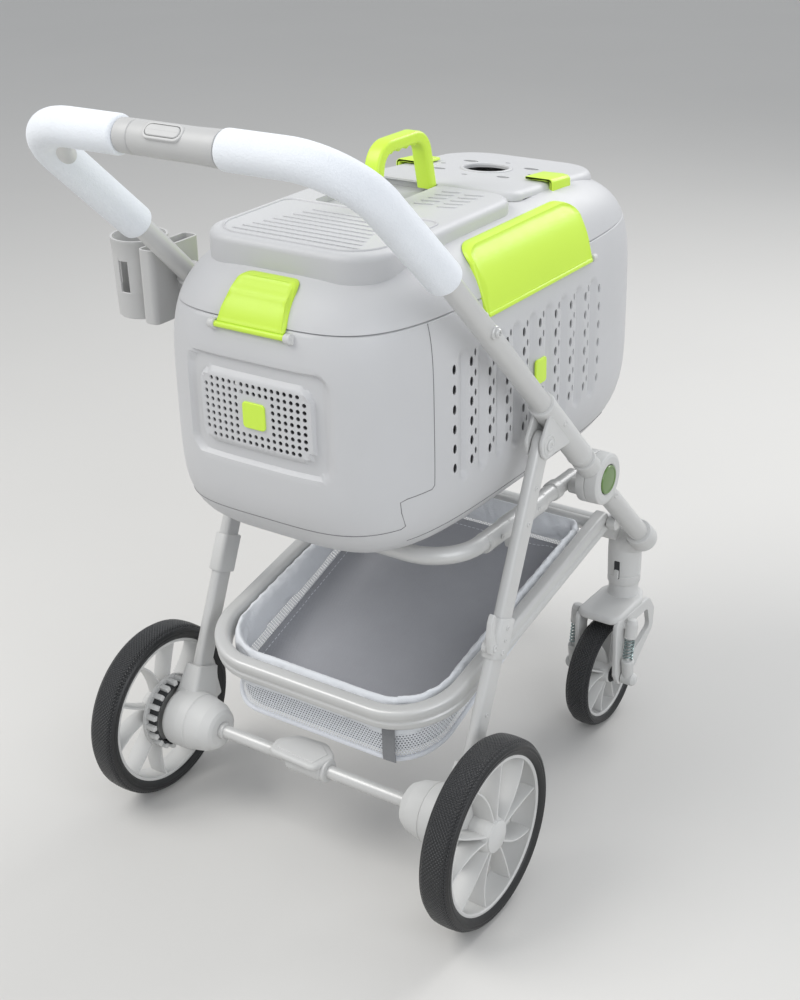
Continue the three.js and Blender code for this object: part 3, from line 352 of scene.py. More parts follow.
# ---- mesh helpers ----
def piece(name, verts, faces, look, body, stands_for=(), uv=None, sharp=32):
    """A mesh object from millimetre points, riding on a body. uv holds one pair for each face corner."""
    mesh = bpy.data.meshes.new(name)
    mesh.from_pydata(place(verts).tolist(), [], [list(map(int, f)) for f in faces])
    mesh.materials.append(LOOKS[look])
    if uv is not None:
        layer = mesh.uv_layers.new(name="UVMap")
        layer.data.foreach_set("uv", np.asarray(uv, np.float32).ravel())
    work = bmesh.new()
    work.from_mesh(mesh)
    bmesh.ops.remove_doubles(work, verts=work.verts, dist=0.00002)
    bmesh.ops.recalc_face_normals(work, faces=work.faces)
    work.to_mesh(mesh)
    work.free()
    mesh.shade_smooth()
    mesh.set_sharp_from_angle(angle=math.radians(sharp))
    made = bpy.data.objects.new(name, mesh)
    bpy.context.scene.collection.objects.link(made)
    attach(made, body)
    if stands_for:
        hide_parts(*stands_for)
    return made


class Parts:
    """Several solids gathered into one piece."""

    def __init__(self):
        self.verts = []
        self.faces = []
        self.uv = []

    def add(self, shape):
        verts, faces, uv = shape
        start = len(self.verts)
        self.verts.extend(np.asarray(verts, float).tolist())
        self.faces.extend([start + i for i in f] for f in faces)
        self.uv.extend(uv if uv is not None else [(0.0, 0.0)] * sum(len(f) for f in faces))
        return self

    def make(self, name, look, body, stands_for=(), sharp=32):
        return piece(name, self.verts, self.faces, look, body, stands_for, self.uv, sharp)


def grid(points, close_rows=False, close_columns=False, u=None, v=None):
    """A surface through points[row][column]. u runs along the rows and v across them, in metres."""
    points = np.asarray(points, float)
    rows, columns = points.shape[:2]
    u = np.arange(rows + 1) / 1000 if u is None else np.asarray(u) / 1000
    v = np.arange(columns + 1) / 1000 if v is None else np.asarray(v) / 1000
    faces, uv = [], []
    for i in range(rows if close_rows else rows - 1):
        for j in range(columns if close_columns else columns - 1):
            i2, j2 = (i + 1) % rows, (j + 1) % columns
            faces.append([i * columns + j, i2 * columns + j, i2 * columns + j2, i * columns + j2])
            uv += [(u[i], v[j]), (u[i + 1], v[j]), (u[i + 1], v[j + 1]), (u[i], v[j + 1])]
    return points.reshape(-1, 3), faces, uv


def lengths(points, closed):
    """Running length along points, with one more entry where the line closes."""
    points = np.asarray(points, float)
    ahead = np.roll(points, -1, 0) if closed else points[1:]
    steps = np.linalg.norm(ahead - points[:len(ahead)], axis=1)
    return np.concatenate([[0], np.cumsum(steps)])


def arc_corner(before, corner, after, radius, steps=None):
    """The points of a round corner of the given radius between two straight stretches."""
    back, ahead = unit(before - corner), unit(after - corner)
    half = math.acos(max(-1, min(1, float(back @ ahead)))) / 2
    turn = math.pi - 2 * half
    if turn < 0.02 or radius <= 0:
        return [corner]
    reach = min(radius / math.tan(half), 0.49 * np.linalg.norm(before - corner),
                0.49 * np.linalg.norm(after - corner))
    radius = reach * math.tan(half)
    centre = corner + unit(back + ahead) * radius / math.sin(half)
    start, end = corner + back * reach - centre, corner + ahead * reach - centre
    steps = steps or max(2, int(math.degrees(turn) / 6))
    return [centre + (start * math.sin(turn * (1 - k / steps))
                      + end * math.sin(turn * k / steps)) / math.sin(turn)
            for k in range(steps + 1)]


def bent(corners, radius, steps=None):
    corners = [np.asarray(c, float) for c in corners]
    points = [corners[0]]
    for i in range(1, len(corners) - 1):
        points += arc_corner(corners[i - 1], corners[i], corners[i + 1], radius, steps)
    return np.array(points + [corners[-1]])


def outline(corners, radius, steps=6):
    """A closed 2-D outline with round corners. radius is one number or one for each corner."""
    corners = [np.asarray(c, float) for c in corners]
    radii = radius if hasattr(radius, "__len__") else [radius] * len(corners)
    points = []
    for i, corner in enumerate(corners):
        points += arc_corner(corners[i - 1], corner, corners[(i + 1) % len(corners)], radii[i], steps)
    return np.array(points)


def rectangle(a0, a1, b0, b1, radius, steps=6):
    return outline([(a0, b0), (a1, b0), (a1, b1), (a0, b1)], radius, steps)


def circle(radius, sides=32, centre=(0, 0)):
    angles = np.linspace(0, 2 * math.pi, sides, endpoint=False)
    return np.stack([centre[0] + radius * np.cos(angles), centre[1] + radius * np.sin(angles)], 1)


def sweep(path, section, closed=False, side=(1, 0, 0), scale=None, caps=True):
    """A section carried along a path without twist. side starts the section's first axis."""
    path = np.asarray(path, float)
    section = np.asarray(section, float)
    n = len(path)
    tangents = np.array([unit(path[(i + 1) % n] - path[i - 1]) if closed or 0 < i < n - 1
                         else unit(path[min(i + 1, n - 1)] - path[max(i - 1, 0)]) for i in range(n)])
    first = np.asarray(side, float)
    if abs(tangents[0] @ unit(first)) > 0.98:
        first = np.array([0.0, 0.0, 1.0])
    rows = []
    for i in range(n):
        first = unit(first - tangents[i] * (first @ tangents[i]))
        second = np.cross(tangents[i], first)
        size = 1 if scale is None else scale[i]
        rows.append(path[i] + size * (section[:, :1] * first + section[:, 1:] * second))
    ring = np.append(lengths(np.pad(section, ((0, 0), (0, 1))), True), 0)[:len(section) + 1]
    verts, faces, uv = grid(rows, closed, True, lengths(path, closed), ring)
    if caps and not closed:
        m = len(section)
        faces += [list(range(m)), list(range((n - 1) * m, n * m))[::-1]]
        uv += [(x / 1000, y / 1000) for x, y in section] + [(x / 1000, y / 1000) for x, y in section[::-1]]
    return verts, faces, uv


def tube(path, radius, sides=36, **options):
    return sweep(path, circle(radius, sides), **options)


def rounded_tube(path, radius, edge=3, sides=36, **options):
    """A tube with its two ends rounded over."""
    path = np.asarray(path, float)
    start, end = unit(path[1] - path[0]), unit(path[-1] - path[-2])
    steps = [(edge * (1 - math.cos(a)), edge * (1 - math.sin(a))) for a in np.linspace(0, math.pi / 2,
                                                                                       5)[:-1]]
    points = [path[0] + start * (d) for d, _ in steps] + [path[0] + start * edge] + list(path[1:-1])
    points += [path[-1] - end * edge] + [path[-1] - end * d for d, _ in steps[::-1]]
    scale = [1 - s / radius for _, s in steps] + [1] * (len(path)) + [1 - s / radius for _, s in steps[::-1]]
    return sweep(points, circle(radius, sides), scale=scale, **options)


def turned(profile, start, axis, sides=64, spin=(0, 0, 1), ring_shaped=False):
    """A turned solid: profile holds (distance along the axis, radius). A ring's profile closes on itself."""
    axis = unit(axis)
    first = unit(np.cross(axis, spin) if abs(axis @ np.asarray(spin, float)) < 0.95 else np.cross(axis,
                                                                                                  (0, 1, 0)))
    second = np.cross(axis, first)
    angles = np.linspace(0, 2 * math.pi, sides, endpoint=False)
    ring = np.cos(angles)[:, None] * first + np.sin(angles)[:, None] * second
    profile = [(float(a), max(float(r), 0.01)) for a, r in profile]
    rows = [np.asarray(start, float) + axis * a + ring * r for a, r in profile]
    widest = max(r for _, r in profile)
    runs = lengths([(a, r, 0) for a, r in profile], False)
    around = np.linspace(0, 2 * math.pi * widest, sides + 1)
    if ring_shaped:
        return grid(rows, True, True, lengths([(a, r, 0) for a, r in profile], True), around)
    verts, faces, uv = grid(rows, False, True, runs, around)
    n = len(profile)
    faces += [list(range(sides)), list(range((n - 1) * sides, n * sides))[::-1]]
    uv += [(0.0, 0.0)] * (2 * sides)
    return verts, faces, uv


def soft_profile(points, edge=1.5):
    """A turned profile with its corners rounded by a small edge."""
    points = [vec(a, r, 0) for a, r in points]
    rounded = [points[0]]
    for i in range(1, len(points) - 1):
        rounded += arc_corner(points[i - 1], points[i], points[i + 1], edge, 3)
    rounded.append(points[-1])
    return [(p[0], p[1]) for p in rounded]


def inset(points, distance):
    """An outline moved inwards along its corners' middle lines."""
    points = np.asarray(points, float)
    before, after = points - np.roll(points, 1, 0), np.roll(points, -1, 0) - points
    n1 = np.stack([-before[:, 1], before[:, 0]], 1)
    n2 = np.stack([-after[:, 1], after[:, 0]], 1)
    n1 /= np.maximum(np.linalg.norm(n1, axis=1, keepdims=True), 1e-9)
    n2 /= np.maximum(np.linalg.norm(n2, axis=1, keepdims=True), 1e-9)
    n = n1 + n2
    n /= np.maximum(np.linalg.norm(n, axis=1, keepdims=True), 1e-9)
    area = np.sum(points[:, 0] * np.roll(points[:, 1], -1) - np.roll(points[:, 0], -1) * points[:, 1])
    return points + n * distance * (1 if area > 0 else -1)


def slab(shape, low, high, to_space, edge=1.5, steps=3, both=True):
    """A plate with rounded edges: an outline between two depths. to_space maps (a, b, depth) to a point."""
    shape = np.asarray(shape, float)
    angles = np.linspace(0, math.pi / 2, steps + 1)
    levels = [(high - edge + edge * math.sin(a), edge * (1 - math.cos(a))) for a in angles]
    levels.append((high, edge * 2))
    bottom = [(low + edge - edge * math.sin(a), edge * (1 - math.cos(a))) for a in angles[::-1]] if both \
        else [(low, 0)]
    if both:
        bottom = [(low, edge * 2)] + bottom
    rows = [[to_space(a, b, depth) for a, b in inset(shape, distance)] for depth, distance in bottom + levels]
    verts, faces, uv = grid(rows, False, True)
    n, m = len(rows), len(shape)
    faces += [list(range(m))[::-1], list(range((n - 1) * m, n * m))]
    uv += [(0.0, 0.0)] * (2 * m)
    return verts, [f[::-1] for f in faces], uv


def inside(points, ring):
    """Which points lie inside a closed outline."""
    x, y = points[:, 0][:, None], points[:, 1][:, None]
    x0, y0 = ring[:, 0], ring[:, 1]
    x1, y1 = np.roll(x0, -1), np.roll(y0, -1)
    rise = np.where(y1 == y0, 1e-12, y1 - y0)
    crossing = ((y0 > y) != (y1 > y)) & (x < (x1 - x0) * (y - y0) / rise + x0)
    return crossing.sum(1) % 2 == 1


def fill(ring, holes=(), step=8.0):
    """Triangles over an outline with holes: the ring's points first, then each hole's, then inner ones."""
    rings = [np.asarray(ring, float)] + [np.asarray(h, float) for h in holes]
    edges, start = [], 0
    for r in rings:
        n = len(r)
        edges += [(start + i, start + (i + 1) % n) for i in range(n)]
        start += n
    low, high = rings[0].min(0), rings[0].max(0)
    a, b = (np.arange(low[k] + step / 2, high[k], step) for k in (0, 1))
    inner = np.stack([m.ravel() for m in np.meshgrid(a, b)], 1) if len(a) and len(b) else np.zeros((0, 2))
    if len(inner):
        keep = inside(inner, rings[0])
        for h in rings[1:]:
            keep &= ~inside(inner, h)
        inner = inner[keep]
    border = np.concatenate(rings)
    if len(inner):
        nearest = np.array([np.min(np.sum((border - p) ** 2, 1)) for p in inner])
        inner = inner[nearest > (0.45 * step) ** 2]
    points = np.concatenate([border, inner])
    made = delaunay_2d_cdt([Vector(p) for p in points], edges, [], 0, 1e-7, False)
    flat = np.array([tuple(v) for v in made[0]])
    triangles = np.array([list(f) for f in made[2]])
    middles = flat[triangles].mean(1)
    keep = inside(middles, rings[0])
    for h in rings[1:]:
        keep &= ~inside(middles, h)
    return flat, triangles[keep].tolist(), [len(r) for r in rings]


def curved_slab(shape, low, high, to_space, edge=1.5, step=8.0, holes=(), relief=None, steps=3):
    """A plate that follows to_space(a, b, depth), with rounded edges, holes and a relief on its top."""
    shape = np.asarray(shape, float)
    relief = relief or (lambda a, b: 0.0)
    top_ring = inset(shape, 2 * edge)
    flat, triangles, counts = fill(top_ring, holes, step)
    n = len(flat)
    verts = [to_space(a, b, low) for a, b in flat] + [to_space(a, b, high + relief(a, b)) for a, b in flat]
    faces = [f[::-1] for f in triangles] + [[n + i for i in f] for f in triangles]
    rows = [list(range(counts[0]))]
    for rounding, depth in ((0, low), (1, high)):
        for k in range(steps + 1):
            turn = math.pi / 2 * k / steps
            if rounding == 0:
                level, distance = depth + edge * (1 - math.cos(turn)), edge * (1 - math.sin(turn))
            else:
                level, distance = depth - edge * (1 - math.sin(turn)), edge * (1 - math.cos(turn))
            rows.append(list(range(len(verts), len(verts) + counts[0])))
            verts += [to_space(a, b, level) for a, b in inset(shape, distance)]
    rows.append([n + i for i in range(counts[0])])
    start = counts[0]
    for lower, upper in zip(rows, rows[1:]):
        faces += [[lower[i], lower[(i + 1) % counts[0]], upper[(i + 1) % counts[0]], upper[i]]
                  for i in range(counts[0])]
    for count in counts[1:]:
        ids = [start + i for i in range(count)]
        faces += [[ids[i], ids[(i + 1) % count], n + ids[(i + 1) % count], n + ids[i]] for i in range(count)]
        start += count
    uv = [(flat_uv[0] / 1000, flat_uv[1] / 1000) for flat_uv in
          ((verts[i][0] + verts[i][1], verts[i][2] + verts[i][1]) for f in faces for i in f)]
    return verts, faces, uv


def side_space(x_sign=1):
    return lambda a, b, d: vec(x_sign * d, a, b)


def level_space():
    return lambda a, b, d: vec(a, b, d)


def form_spread(z, offset):
    """How wide the carrier's form is at a height, as a share of its widest line."""
    half_rise = (CARRIER_RISE if z > CARRIER_Z else CARRIER_DROP) + offset
    upright = TOP_POWER if z > CARRIER_Z else BOTTOM_POWER
    return max(1e-6, 1 - min(1.0, abs(z - CARRIER_Z) / half_rise) ** upright) ** (1 / upright)


def plan_rest(share):
    """The other half-size of the form's plan at a share of the first."""
    return max(0.0, 1 - share ** PLAN_POWER) ** (1 / PLAN_POWER)


def carrier_y(x, z, way, offset=0.0):
    """Where the carrier's front (way 1) or rear (way -1) face lies at a given x and height."""
    spread = form_spread(z, offset)
    share = min(1.0, abs(x) / ((CARRIER_WIDTH + offset) * spread))
    return CARRIER_Y + way * (CARRIER_LENGTH + offset) * spread * plan_rest(share)


def carrier_x(y, z, side, offset=0.0):
    """Where the carrier's right (side 1) or left (side -1) face lies at a given y and height."""
    spread = form_spread(z, offset)
    share = min(1.0, abs(y - CARRIER_Y) / ((CARRIER_LENGTH + offset) * spread))
    return side * (CARRIER_WIDTH + offset) * spread * plan_rest(share)


def carrier_top(x, y, offset=0.0):
    """The height of the carrier's top over a point of its plan."""
    share = ((abs(x) / (CARRIER_WIDTH + offset)) ** PLAN_POWER
             + (abs(y - CARRIER_Y) / (CARRIER_LENGTH + offset)) ** PLAN_POWER)
    spread = min(1.0, share ** (1 / PLAN_POWER))
    return CARRIER_Z + (CARRIER_RISE + offset) * max(0.0, 1 - spread ** TOP_POWER) ** (1 / TOP_POWER)


# ---- camera and light ----
scene = bpy.context.scene
camera_data = bpy.data.cameras.new("camera")
camera_data.lens = 57.32
camera_data.sensor_width = 36
camera = bpy.data.objects.new("camera", camera_data)
scene.collection.objects.link(camera)
eye, target = Vector(place([1066, -1320, 1297])), Vector(place([-6, 219.3, 404.2]))
facing = (target - eye).to_track_quat("-Z", "Y").to_matrix().to_4x4()
camera.matrix_world = Matrix.Translation(eye) @ facing @ Matrix.Rotation(math.radians(ROLL), 4, "Z")
scene.camera = camera
scene.view_settings.view_transform = "Standard"

world = bpy.data.worlds.new("studio")
world.use_nodes = True
world.node_tree.nodes["Background"].inputs["Color"].default_value = (0.93, 0.96, 1.0, 1)
world.node_tree.nodes["Background"].inputs["Strength"].default_value = 0.62
scene.world = world


def lamp(name, position, aim, size, power, colour=(1, 1, 1)):
    data = bpy.data.lights.new(name, "AREA")
    data.shape = "DISK"
    data.size = size
    data.energy = power
    data.color = colour
    made = bpy.data.objects.new(name, data)
    scene.collection.objects.link(made)
    made.location = place(position)
    made.rotation_euler = (Vector(place(aim)) - Vector(place(position))).to_track_quat("-Z", "Y").to_euler()


lamp("key", (-1500, -1300, 3000), (0, 200, 400), 2.2, 62, (1, 0.985, 0.96))
lamp("fill", (2600, -1100, 1900), (0, 200, 450), 2.4, 34, (0.95, 0.97, 1))
lamp("back", (500, 2600, 2300), (0, 200, 500), 1.8, 40)

floor_look = Look("floor", (0.62, 0.61, 0.59), 0.75)
floor_look.vary(floor_look.noise(1.3, 5), 0.97, 1.02)
floor_look.bump(floor_look.noise(240, 3), 0.0004, 0.25)
floor_mesh = bpy.data.meshes.new("floor")
reach = 30000
floor_mesh.from_pydata(place([(-reach, -reach, 0), (reach, -reach, 0), (reach, reach, 0),
                              (-reach, reach, 0)]).tolist(),
                       [], [(0, 1, 2, 3)])
floor_mesh.materials.append(floor_look.material)
floor = bpy.data.objects.new("floor", floor_mesh)
scene.collection.objects.link(floor)
floor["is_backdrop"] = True


# ---- wheels ----
def tyre(name, body, node, x, y, radius, rim_radius, width):
    """A crowned tread, a step at each shoulder and a sidewall with one raised ring."""
    half = width / 2
    depth = radius - rim_radius
    crown = [(half * 0.62 * t, radius - 0.9 * t * t) for t in np.linspace(-1, 1, 9)]
    shoulder = [(half * 0.74, radius - 2.4), (half * 0.76, radius - 3.4), (half * 0.9, radius - 4.6),
                (half, radius - depth * 0.42), (half * 0.97, radius - depth * 0.56),
                (half, radius - depth * 0.62),
                (half * 0.94, radius - depth * 0.86), (half * 0.78, rim_radius - 0.5)]
    profile = [(-a, r) for a, r in shoulder[::-1]] + crown + shoulder
    profile += [(half * 0.6, rim_radius - 2), (-half * 0.6, rim_radius - 2)]
    verts, faces, uv = turned(profile, (x, y, radius), (1, 0, 0), 96, ring_shaped=True)
    runs = lengths([(a, r, 0) for a, r in profile], True) / 1000
    middle = runs[len(shoulder) + 4]
    uv = [(v, u - middle) for u, v in uv]
    return piece(name, verts, faces, "tyre", body, (node,), uv, 40)


def wheel_space(x, y, z):
    return lambda a, b, d: vec(x + d, y + a, z + b)


def blade(x, y, z, start_angle, end_angle, r0, r1, width, thickness, side):
    """A broad curved spoke from the hub to the rim, thinner towards its middle."""
    points = []
    for t in np.linspace(0, 1, 9):
        angle = start_angle + (end_angle - start_angle) * t ** 1.45
        radius = r0 + (r1 - r0) * t
        points.append(vec(x + side * (1.5 - 3 * t), y + radius * math.cos(angle),
                          z + radius * math.sin(angle)))
    section = rectangle(-width / 2, width / 2, -thickness / 2, thickness / 2, thickness * 0.45, 2)
    return sweep(points, section)


def rim(x, y, radius, rim_radius, width, core, side, hub_half):
    z = radius
    out = rim_radius - 0.4
    half = width / 2
    ring = [(-half, out - 1), (-half + 1.2, out + 1.2), (-half + 4, out + 1.2), (-half + 5, out - 0.6),
            (half - 5, out - 0.6), (half - 4, out + 1.2), (half - 1.2, out + 1.2), (half, out - 1),
            (half, out - 3.6), (half - 1.6, out - 4.6), (half - 5, out - 3.4), (0, out - 2.6),
            (-half + 5, out - 3.4), (-half + 1.6, out - 4.6), (-half, out - 3.6)]
    parts = Parts().add(turned(ring, (x, y, z), (1, 0, 0), 96, ring_shaped=True))
    for i in range(5):
        middle = 2 * math.pi * (i + 0.25) / 5
        for way in (-1, 1):
            parts.add(blade(x, y, z, middle + way * 0.16, middle + way * 0.335 + 0.12, core - 3, out - 2.5,
                            width * 0.86, 2.8, side))
    hub = [(-hub_half, core - 5), (-hub_half + 1.5, core - 2), (-half * 0.7, core), (half * 0.55, core),
           (hub_half - 3, core - 1.5), (hub_half - 1, core - 3)]
    hub = [(a * side, r) for a, r in hub]
    parts.add(turned(soft_profile(hub, 1), (x, y, z), (1, 0, 0), 48))
    return parts


for name, side in SIDES:
    x = side * REAR_TRACK
    tyre(f"tyre_rear_{name}", f"rear_wheel_{name}", f"rear_tyre_{name}", x, 0, REAR_RADIUS, REAR_RIM,
         REAR_WIDTH)
    parts = rim(x, 0, REAR_RADIUS, REAR_RIM, 32, 23, side, 17)
    cap = [(15, 20.5), (17.4, 20.2), (18.3, 18.8), (18.5, 15), (18.9, 14.2), (19.1, 0.01)]
    parts.add(turned([(side * a, r) for a, r in cap], (x, 0, REAR_RADIUS), (1, 0, 0), 56))
    web = [(-18, 24), (-18, 51), (-13.4, 51), (-12.6, 49), (-12.6, 24)]
    parts.add(turned([(side * a, r) for a, r in web], (x, 0, REAR_RADIUS), (1, 0, 0), 64))
    for k in range(20):
        angle = 2 * math.pi * k / 20
        tooth = wheel_space(x, 0, REAR_RADIUS)
        turn = [(math.cos(angle) * a - math.sin(angle) * b, math.sin(angle) * a + math.cos(angle) * b)
                for a, b in rectangle(43, 50, -3.6, 3.6, 1.4, 2)]
        lo, hi = sorted((side * -32, side * -17))
        parts.add(slab(turn, lo, hi, tooth, 0.8, 2))
    parts.make(f"rim_rear_{name}", "grey_plastic", f"rear_wheel_{name}", (f"rear_rim_{name}",))
    # painted shade: a near-black ring in the gap between the hub housing and the wheel's brake teeth
    drum = [(-31, 41), (-31, 44.5), (-16, 44.5), (-16, 41)]
    piece(f"brake_gap_{name}", *turned([(side * a, r) for a, r in drum], (x, 0, REAR_RADIUS), (1, 0, 0), 48,
                                        ring_shaped=True)[:2], "hollow_dark", f"rear_wheel_{name}")

    x = side * FRONT_TRACK
    tyre(f"tyre_front_{name}", f"front_wheel_{name}", f"front_tyre_{name}", x, FRONT_Y, FRONT_RADIUS,
         FRONT_RIM,
         FRONT_WIDTH)
    parts = rim(x, FRONT_Y, FRONT_RADIUS, FRONT_RIM, 25, 16, side, 19)
    parts.make(f"rim_front_{name}", "grey_plastic", f"front_wheel_{name}", (f"front_rim_{name}",))
    # painted shade: a near-black ring round the axle in the front wheel's bore
    bore_ring = [(-20, 7), (-20, 12), (-18.5, 13), (18.5, 13), (20, 12), (20, 7)]
    piece(f"bore_shade_front_{name}", *turned(bore_ring, (x, FRONT_Y, FRONT_RADIUS), (1, 0, 0), 40,
                                           ring_shaped=True)[:2],
          "hollow_dark", f"front_wheel_{name}")


# ---- upper frame ----
def screw(parts, centre, normal, radius, height=2.4):
    """A round head with a raised ring round its socket."""
    head = [(-1, radius), (height * 0.6, radius), (height, radius * 0.8), (height, radius * 0.5),
            (height * 0.45, radius * 0.4), (height * 0.45, 0.01)]
    parts.add(turned(head, centre, normal, 28))


handle_path = bent([along_tube(HALF_WIDTH, 58), vec(HALF_WIDTH, *GRIP_START[1:]),
                    vec(HALF_WIDTH, *CROSSBAR[1:]),
                    vec(-HALF_WIDTH, *CROSSBAR[1:]), vec(-HALF_WIDTH, *GRIP_START[1:]),
                    along_tube(-HALF_WIDTH, 58)], HANDLE_BEND, 14)
parts = Parts().add(tube(handle_path, TUBE, 40))
for name, side in SIDES:
    at = along_tube(side * (HALF_WIDTH + TUBE - 1), 394)
    if side > 0:
        parts.add(turned([(-1, 8), (2, 8), (3, 7), (3.2, 5.5)], at, (side, 0, 0), 28))
        screw(parts, at + vec(side * 3, 0, 0), (side, 0, 0), 5.5, 4)
parts.make("handle_bar", "painted_tube", "upper_frame", ("handle_tube",))

for name, side in SIDES:
    path = bent([vec(side * HALF_WIDTH, -3, 799), vec(side * HALF_WIDTH, *CROSSBAR[1:]),
                 vec(side * GRIP_END, *CROSSBAR[1:])], HANDLE_BEND, 18)
    straight = [path[0] + (path[1] - path[0]) * t for t in np.linspace(0, 1, 6)]
    path = np.array(straight + list(path[2:]))
    verts, faces, uv = rounded_tube(path, GRIP_RADIUS, 5, 56)
    piece(f"foam_grip_{name}", verts, faces, "white_foam", "upper_frame", (f"grip_{name}",), uv, 60)

cover = soft_profile([(-65.6, 14.5), (-65.6, 17.8), (-47, 18), (-46.6, 17.1), (-45.4, 17.1), (-45, 18),
                      (30, 18),
                      (50, 18.6), (65.6, 19), (65.6, 14.5)], 0.8)
parts = Parts().add(turned(cover, CROSSBAR, (1, 0, 0), 56))
button_across = np.cross(UP_TUBE, [1, 0, 0])
button_space = (lambda a, b, d: CROSSBAR + vec(a, 0, 0) + button_across * b + UP_TUBE * d)
parts.add(curved_slab(rectangle(-26, 26, -10, 10, 9.8), 11, 18.7, button_space, 1.2, 9,
                      [rectangle(-22.8, 22.8, -7.2, 7.2, 7.1)]))
parts.make("handle_cover", "cover_plastic", "upper_frame", ("handle_centre_cover",))
Parts().add(slab(rectangle(-22, 22, -6.5, 6.5, 6.4), 15.9, 19.5, button_space, 1.3, 4)).make(
    "oval_button", "cover_plastic", "handle_button", ("fold_button",))

for name, side in SIDES:
    x = side * HALF_WIDTH
    disc = soft_profile([(HUB_SPLIT, 20), (HUB_SPLIT, HUB_RADIUS), (HUB_OUTER - 2, HUB_RADIUS - 0.6),
                         (HUB_OUTER, HUB_RADIUS - 5), (HUB_OUTER, 21.5), (HUB_OUTER - 1.2, 19.9),
                         (HUB_OUTER - 6, 19.9), (HUB_OUTER - 6, 0.01)], 1)
    parts = Parts().add(turned([(a * side, r) for a, r in disc], HUB * [0, 1, 1], (1, 0, 0), 72))
    neck = soft_profile([(14, 10), (14, 16), (50, 15), (50.6, 16), (57.2, 15.8), (58, 13.2)], 0.8)
    parts.add(turned(neck, HUB + vec(x, 0, 0), UP_TUBE, 40))
    parts.make(f"fold_joint_cover_{name}", "grey_plastic", "upper_frame", (f"hub_cover_{name}",))
    button = [(HUB_OUTER - 3, 19.2), (HUB_OUTER - 0.4, 19.2), (HUB_OUTER + 0.8, 18.3), (HUB_OUTER + 1, 16.4),
              (HUB_OUTER + 0.3, 15.6), (HUB_OUTER + 0.7, 9), (HUB_OUTER + 0.8, 0.01)]
    Parts().add(turned([(a * side, r) for a, r in button], HUB * [0, 1, 1], (1, 0, 0), 56)).make(
        f"round_button_{name}", "green_button", f"round_button_{name}", (f"hub_button_{name}",))

    sleeve = soft_profile([(70, 13.2), (70, 16.4), (76, 16.6), (77, 16), (208, 16), (209, 16.6), (214, 16.4),
                           (215, 13.2)], 0.9)
    parts = Parts().add(turned(sleeve, HUB + vec(x, 0, 0), UP_TUBE, 44))
    lower, upper = along_tube(0, 122), along_tube(0, 207)
    ear = outline([lower[1:], upper[1:], (LEG_PIVOT[1] - 19, LEG_PIVOT[2] + 8),
                   (LEG_PIVOT[1] - 14, LEG_PIVOT[2] - 17),
                   (LEG_PIVOT[1] + 16, LEG_PIVOT[2] - 15)], [8, 8, 14, 16, 14])
    for inner in (LEG_X - 12.4, LEG_X + 7.9):
        parts.add(slab(ear, inner, inner + 4.5, side_space(side), 1.2))
    boss = [(LEG_X + 12, 13.5), (LEG_X + 13, 13.2), (LEG_X + 13.4, 12.2), (LEG_X + 13.2, 11),
            (LEG_X + 12.6, 10.4)]
    parts.add(turned([(a * side, r) for a, r in boss], LEG_PIVOT * [0, 1, 1], (1, 0, 0), 40))
    screw(parts, vec(side * (LEG_X + 12.4), *LEG_PIVOT[1:]), (side, 0, 0), 7)
    screw(parts, vec(side * (LEG_X - 12.2), *LEG_PIVOT[1:]), (-side, 0, 0), 6)
    screw(parts, along_tube(side * (HALF_WIDTH + 15.6), 168), (side, 0, 0), 4.5, 1.2)
    parts.make(f"bracket_{name}", "grey_plastic", "upper_frame", (f"leg_bracket_{name}",))


# ---- cup holder ----
def tray(shape, wall, z0, z1, floor=3.0, flare=0.0):
    """An open box with thin walls and a rounded lip, from an outline in x and y."""
    shape = np.asarray(shape, float)
    rows = [(z0, 3), (z0, 1.2), (z0 + 1.2, 0), (z1 - 2, -flare), (z1 - 0.6, -flare - 0.2),
            (z1, -flare + wall * 0.3),
            (z1, wall * 0.7 - flare), (z1 - 0.6, wall - flare), (z0 + floor + 1.5, wall),
            (z0 + floor, wall + 1.5)]
    made = [[vec(a, b, z) for a, b in inset(shape, distance)] for z, distance in rows]
    verts, faces, uv = grid(made, False, True)
    n, m = len(rows), len(shape)
    faces += [list(range(m)), list(range((n - 1) * m, n * m))]
    uv += [(0.0, 0.0)] * (2 * m)
    return verts, faces, uv


cup_bottom = CUP_TOP - CUP_HEIGHT
parts = Parts().add(tray(circle(CUP_RADIUS - 3.5, 56, (CUP_X, CUP_Y)), 2.4, cup_bottom, cup_bottom + 34,
                         2.6, 1.2))
rim_ring = [(CUP_TOP - 26, 34.4), (CUP_TOP - 4, 35.6), (CUP_TOP - 3, 36), (CUP_TOP, 36), (CUP_TOP, 33),
            (CUP_TOP - 4, 32.8),
            (CUP_TOP - 26, 31.8)]
parts.add(turned(rim_ring, (CUP_X, CUP_Y, 0), (0, 0, 1), 64, (1, 0, 0), True))
for k in range(5):
    middle = math.radians(20 + 72 * k)
    space = (lambda a, b, d, middle=middle: vec(CUP_X + d * math.cos(middle + a),
                                                CUP_Y + d * math.sin(middle + a), b))
    columns = np.linspace(-0.42, 0.42, 9)
    rows = [[space(a, z, r) for a in columns] + [space(a, z, r - 2.6) for a in columns[::-1]]
            for z, r in ((cup_bottom + 30, 33.6), (cup_bottom + 54, 34.2), (CUP_TOP - 22, 34.8))]
    verts, faces, uv = grid(rows, False, True)
    faces += [list(range(18)), list(range(36, 54))]
    parts.add((verts, faces, uv + [(0.0, 0.0)] * 36))
pocket = rectangle(-255, -231, 34, 122, 8)
parts.add(tray(pocket, 2.4, cup_bottom + 2, CUP_TOP - 4, 2.6))
for y in (50, 64, 92, 106):
    parts.add(slab(rectangle(y - 3, y + 3, cup_bottom + 18, CUP_TOP - 14, 2.8, 3), 254, 256.4,
                   side_space(-1), 0.8, 2))
clamp_z = cup_bottom + 48
clamp_distance = (clamp_z - HUB[2]) / UP_TUBE[2]
clamp_at = along_tube(-HALF_WIDTH, clamp_distance)
